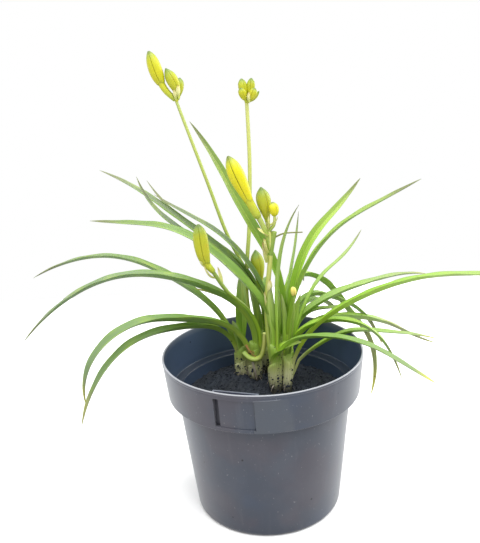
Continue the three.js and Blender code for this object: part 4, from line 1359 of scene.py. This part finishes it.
budShape = {
    "rows": 60, "lobe": 0.05, "groove": 0.07, "seamWidth": 0.045, "lap": 0.06, "notch": 0.035, "collar": 0.025,
    "shoulder": 0.06,
    "thirds": (0, 0.02, 0.045, 0.08, 0.13, 0.2, 0.28, 0.36, 0.44, 0.5, 0.56, 0.64, 0.72, 0.8, 0.87, 0.92, 0.955,
               0.98),  # where the lines lie across one petal, crowded at its seams
    "knobRows": 12, "knobSides": 24,
}

# bud: foot, bend, tip, width, tube width, share where the petals begin, belly (high sets the broadest
# place nearer the tip), pointedness (low is blunt), ripeness 0 green to 1 yellow and above that cream, turn of its
# seams, and for a tube that widens slowly, the share over which it does
budGroups = {
    "budsLeft": ("buds_left", ((-50.2, 58, 284), 1.5), [
        ((-51, 58, 284), (-58.5, 58, 293), (-67, 58, 318), 9.4, 5.2, 0.38, 0.85, 0.75, 0.55, 0.56, 0.5),
        ((-50, 58, 284), (-49.5, 57.5, 290), (-56, 57, 306), 8.4, 2.8, 0.18, 1.1, 0.75, 0.25, 0.3),
        ((-49.5, 58.5, 284), (-48, 60, 289), (-47, 62, 299), 6.2, 2.6, 0.2, 1.4, 0.55, 0.1, 0.7),
    ]),
    "budsCentre": ("buds_centre", ((-1, 46, 281), 1.6), [
        ((-1, 46, 281), (-2.6, 46, 286), (-4, 47, 296.5), 6.2, 2.6, 0.2, 1.4, 0.5, 0.3, 0.3),
        ((-1, 46, 281), (1.5, 47, 286), (3, 48, 296.5), 5.8, 2.6, 0.2, 1.4, 0.5, 0.25, 0.6),
        ((-1, 45.5, 281), (-3, 43.5, 284.5), (-5, 42, 290.5), 5.4, 2.4, 0.2, 1.4, 0.5, 0.5, 0.4),
        ((-1, 45.5, 281), (2, 44, 283.5), (5, 43, 290), 5.6, 2.4, 0.2, 1.4, 0.5, 0.45, 0.6),
        ((-0.5, 46, 280.5), (4, 47, 282.5), (8, 47.5, 287.5), 2.2, 1.6, 0.2, 1.4, 0.7, 0.1, 0.2),
    ]),
    "budLargest": ("bud_largest", None, [
        ((2.3, 6.1, 207.3), (-3, 5, 218), (-16, 3, 250), 10.8, 5.6, 0.28, 1.4, 0.7, 1.0, 0.6)]),
    "budOlive": ("bud_olive", None, [
        ((8.4, 9.8, 202.7), (7.4, 10.3, 208.4), (4.6, 10, 227.4), 9.8, 3.6, 0.1, 1.4, 0.7, 0.2, 0.25)]),
    "budRound": ("bud_round", None, [
        ((12.8, 4, 208.4), (12.5, 4, 211.8), (11.6, 4, 218.1), 6.8, 2.8, 0.05, 1.1, 0.5, 0.9, 0.2)]),
    "budLowLeft": ("bud_low_left", None, [
        ((-30.8, 15.6, 168.6), (-35.7, 15.5, 176.2), (-39.2, 15.5, 203.2), 10.4, 6, 0.2, 1.4, 0.4, 0.3, 0.5, 0.4)]),
    "budLowRear": ("bud_low_rear", None, [
        ((3, 48.1, 144.3), (2.2, 48.4, 148), (0, 49, 173.6), 10.2, 3.6, 0.1, 1.4, 0.7, 0.1, 0.3)]),
    "budSmallest": ("bud_smallest", None, [
        ((23.5, 2.5, 152.2), (23.5, 2.5, 154), (23.1, 2.5, 159), 4.2, 1.8, 0.05, 1, 0.5, 1.3, 0.4)]),
}


def addBud(skin, foot, bend, tip, width, tubeWidth, petalsFrom, belly, pointedness, ripe, seamTurn, funnel=None):
    s = budShape
    places, length = smoothRoute((foot, bend, tip), (Vector(tip) - Vector(foot)).length / s["rows"])
    rows = []
    columns = [((petal + third - seamTurn) / 3, third) for petal in range(3) for third in s["thirds"]]
    for index, (place, side, up) in enumerate(carriedFrames(places)):
        t = index / (len(places) - 1)
        ring = []
        for u, third in columns:
            turn = u * math.tau
            away = min(third, 1 - third)
            start = petalsFrom + s["notch"] * smooth(0.3, 0.0, away)
            petal = max(0.0, (t - start) / (1 - start))
            form = max(0.0, math.sin(math.pi * petal ** belly)) ** pointedness
            radius = lerp(tubeWidth / 2, width / 2, form) * (1 - 0.75 * petal ** 9)
            radius *= lerp(0.55, 1, math.sqrt(clamp(t / (funnel or s["shoulder"]))))
            radius *= 1 + s["collar"] * smooth(0.0, 0.02, petal) * smooth(0.09, 0.03, petal)
            seam = smooth(s["seamWidth"], 0.0, away) * smooth(0.0, 0.06, petal) * (petal < 0.985)
            lap = s["lap"] * (third - 0.5) * smooth(0.02, 0.25, petal) * smooth(1.0, 0.8, petal)
            shaped = radius * (1 + lap - s["groove"] * seam - s["lobe"] * form * math.cos(third * math.tau))
            ring.append((place + side * math.cos(turn) * shaped + up * math.sin(turn) * shaped, {
                "share": t, "petal": petal, "seam": seam, "ripe": ripe, "across": abs(2 * (u % 1) - 1),
                "along": t * length * mm}))
        rows.append(ring)
    skin.addRows(rows)


def addKnob(skin, at, radius):
    count, sides, rows = budShape["knobRows"], budShape["knobSides"], []
    carried = {"share": 0.3, "petal": 0.0, "seam": 0.0, "ripe": 0.3, "across": 0.0, "along": 0.0}
    for row in range(1, count):
        tilt = math.pi * row / count
        rows.append([(Vector(at) + flatDirection(360 * i / sides) * radius * math.sin(tilt)
                      + Vector((0, 0, -radius * math.cos(tilt))), carried) for i in range(sides)])
    skin.addRows(rows)


for budName, (nodeName, knob, rows) in budGroups.items():
    budSkin = Skin()
    if knob:
        addKnob(budSkin, *knob)
    for row in rows:
        addBud(budSkin, *row)
    finishPiece(budSkin.piece(budName), budPetals, "bud", 60, nodeName)
print("buds made")


# studio

studio = {
    "ambient": 0.45, "floor": "#fdfdfd", "floorBounce": "#bcbcbc", "floorBox": (-1.2, 1.2, -1.5, 0.476),
    "lights": [  # place, aim, width, height, power
        ((0.45, -0.75, 1.35), (0, 0, 0.12), 1.0, 1.0, 18),
        ((0.0, 0.2, 1.6), (0, 0, 0.12), 1.4, 1.4, 22),
        ((-0.8, -0.6, 0.9), (0, 0, 0.12), 0.8, 0.8, 5),
        ((-1.0, 0.45, 0.45), (0, 0, 0.1), 0.5, 0.9, 4),
        ((1.0, 0.5, 0.5), (0, 0, 0.1), 0.6, 1.0, 11),
    ],
}


def makeStudio():
    world = bpy.data.worlds.new("studioWorld")
    bpy.context.scene.world = world
    world.use_nodes = True
    tree = world.node_tree
    seen = addNode(tree, "ShaderNodeLightPath").outputs["Is Camera Ray"]
    strength = Flow(tree, seen) * (1.0 - studio["ambient"]) + studio["ambient"]
    setInputs(tree, tree.nodes["Background"], {0: (1.0, 1.0, 1.0, 1.0), 1: strength})
    left, right, near, far = [value / mm for value in studio["floorBox"]]
    floor = newPiece("studioFloor", [(left, near, 0), (right, near, 0), (right, far, 0), (left, far, 0)],
                     [], [(0, 1, 2, 3)], {})
    finish, tree, shader = newFinish("paleFloor")
    looked = addNode(tree, "ShaderNodeLightPath").outputs["Is Camera Ray"]
    tone = blend(tree, looked, studio["floorBounce"], studio["floor"])
    setInputs(tree, shader, {"Base Color": tone, "Roughness": 0.8})
    floor.data.materials.append(finish)
    for index, (place, aim, width, height, power) in enumerate(studio["lights"]):
        lamp = bpy.data.lights.new("softLight" + str(index + 1), "AREA")
        lamp.shape, lamp.size, lamp.size_y, lamp.energy = "RECTANGLE", width, height, power
        lampObject = bpy.data.objects.new(lamp.name, lamp)
        lampObject.location = place
        lampObject.rotation_euler = (Vector(aim) - Vector(place)).to_track_quat("-Z", "Y").to_euler()
        bpy.context.scene.collection.objects.link(lampObject)
    bpy.context.scene.view_settings.view_transform = "Standard"


cameraPlace = {"at": (-12.3, -448.7, 311.2), "down": 0.2994, "roll": -0.0568, "lens": 46.18}


def makeCamera():
    down, roll = cameraPlace["down"], cameraPlace["roll"]
    right = Vector((1, 0, 0))
    above = Vector((0, math.sin(down), math.cos(down)))
    ahead = Vector((0, math.cos(down), -math.sin(down)))
    across = right * math.cos(roll) + above * math.sin(roll)
    upward = above * math.cos(roll) - right * math.sin(roll)
    lens = bpy.data.cameras.new("studioCamera")
    lens.lens, lens.sensor_width, lens.sensor_fit = cameraPlace["lens"], 36, "AUTO"
    lens.clip_start = 0.01
    camera = bpy.data.objects.new("studioCamera", lens)
    turn = Matrix((across, upward, -ahead)).transposed().to_4x4()
    camera.matrix_world = Matrix.Translation(Vector(cameraPlace["at"]) * mm) @ turn
    bpy.context.scene.collection.objects.link(camera)
    bpy.context.scene.camera = camera


makeStudio()
makeCamera()
print("studio made")
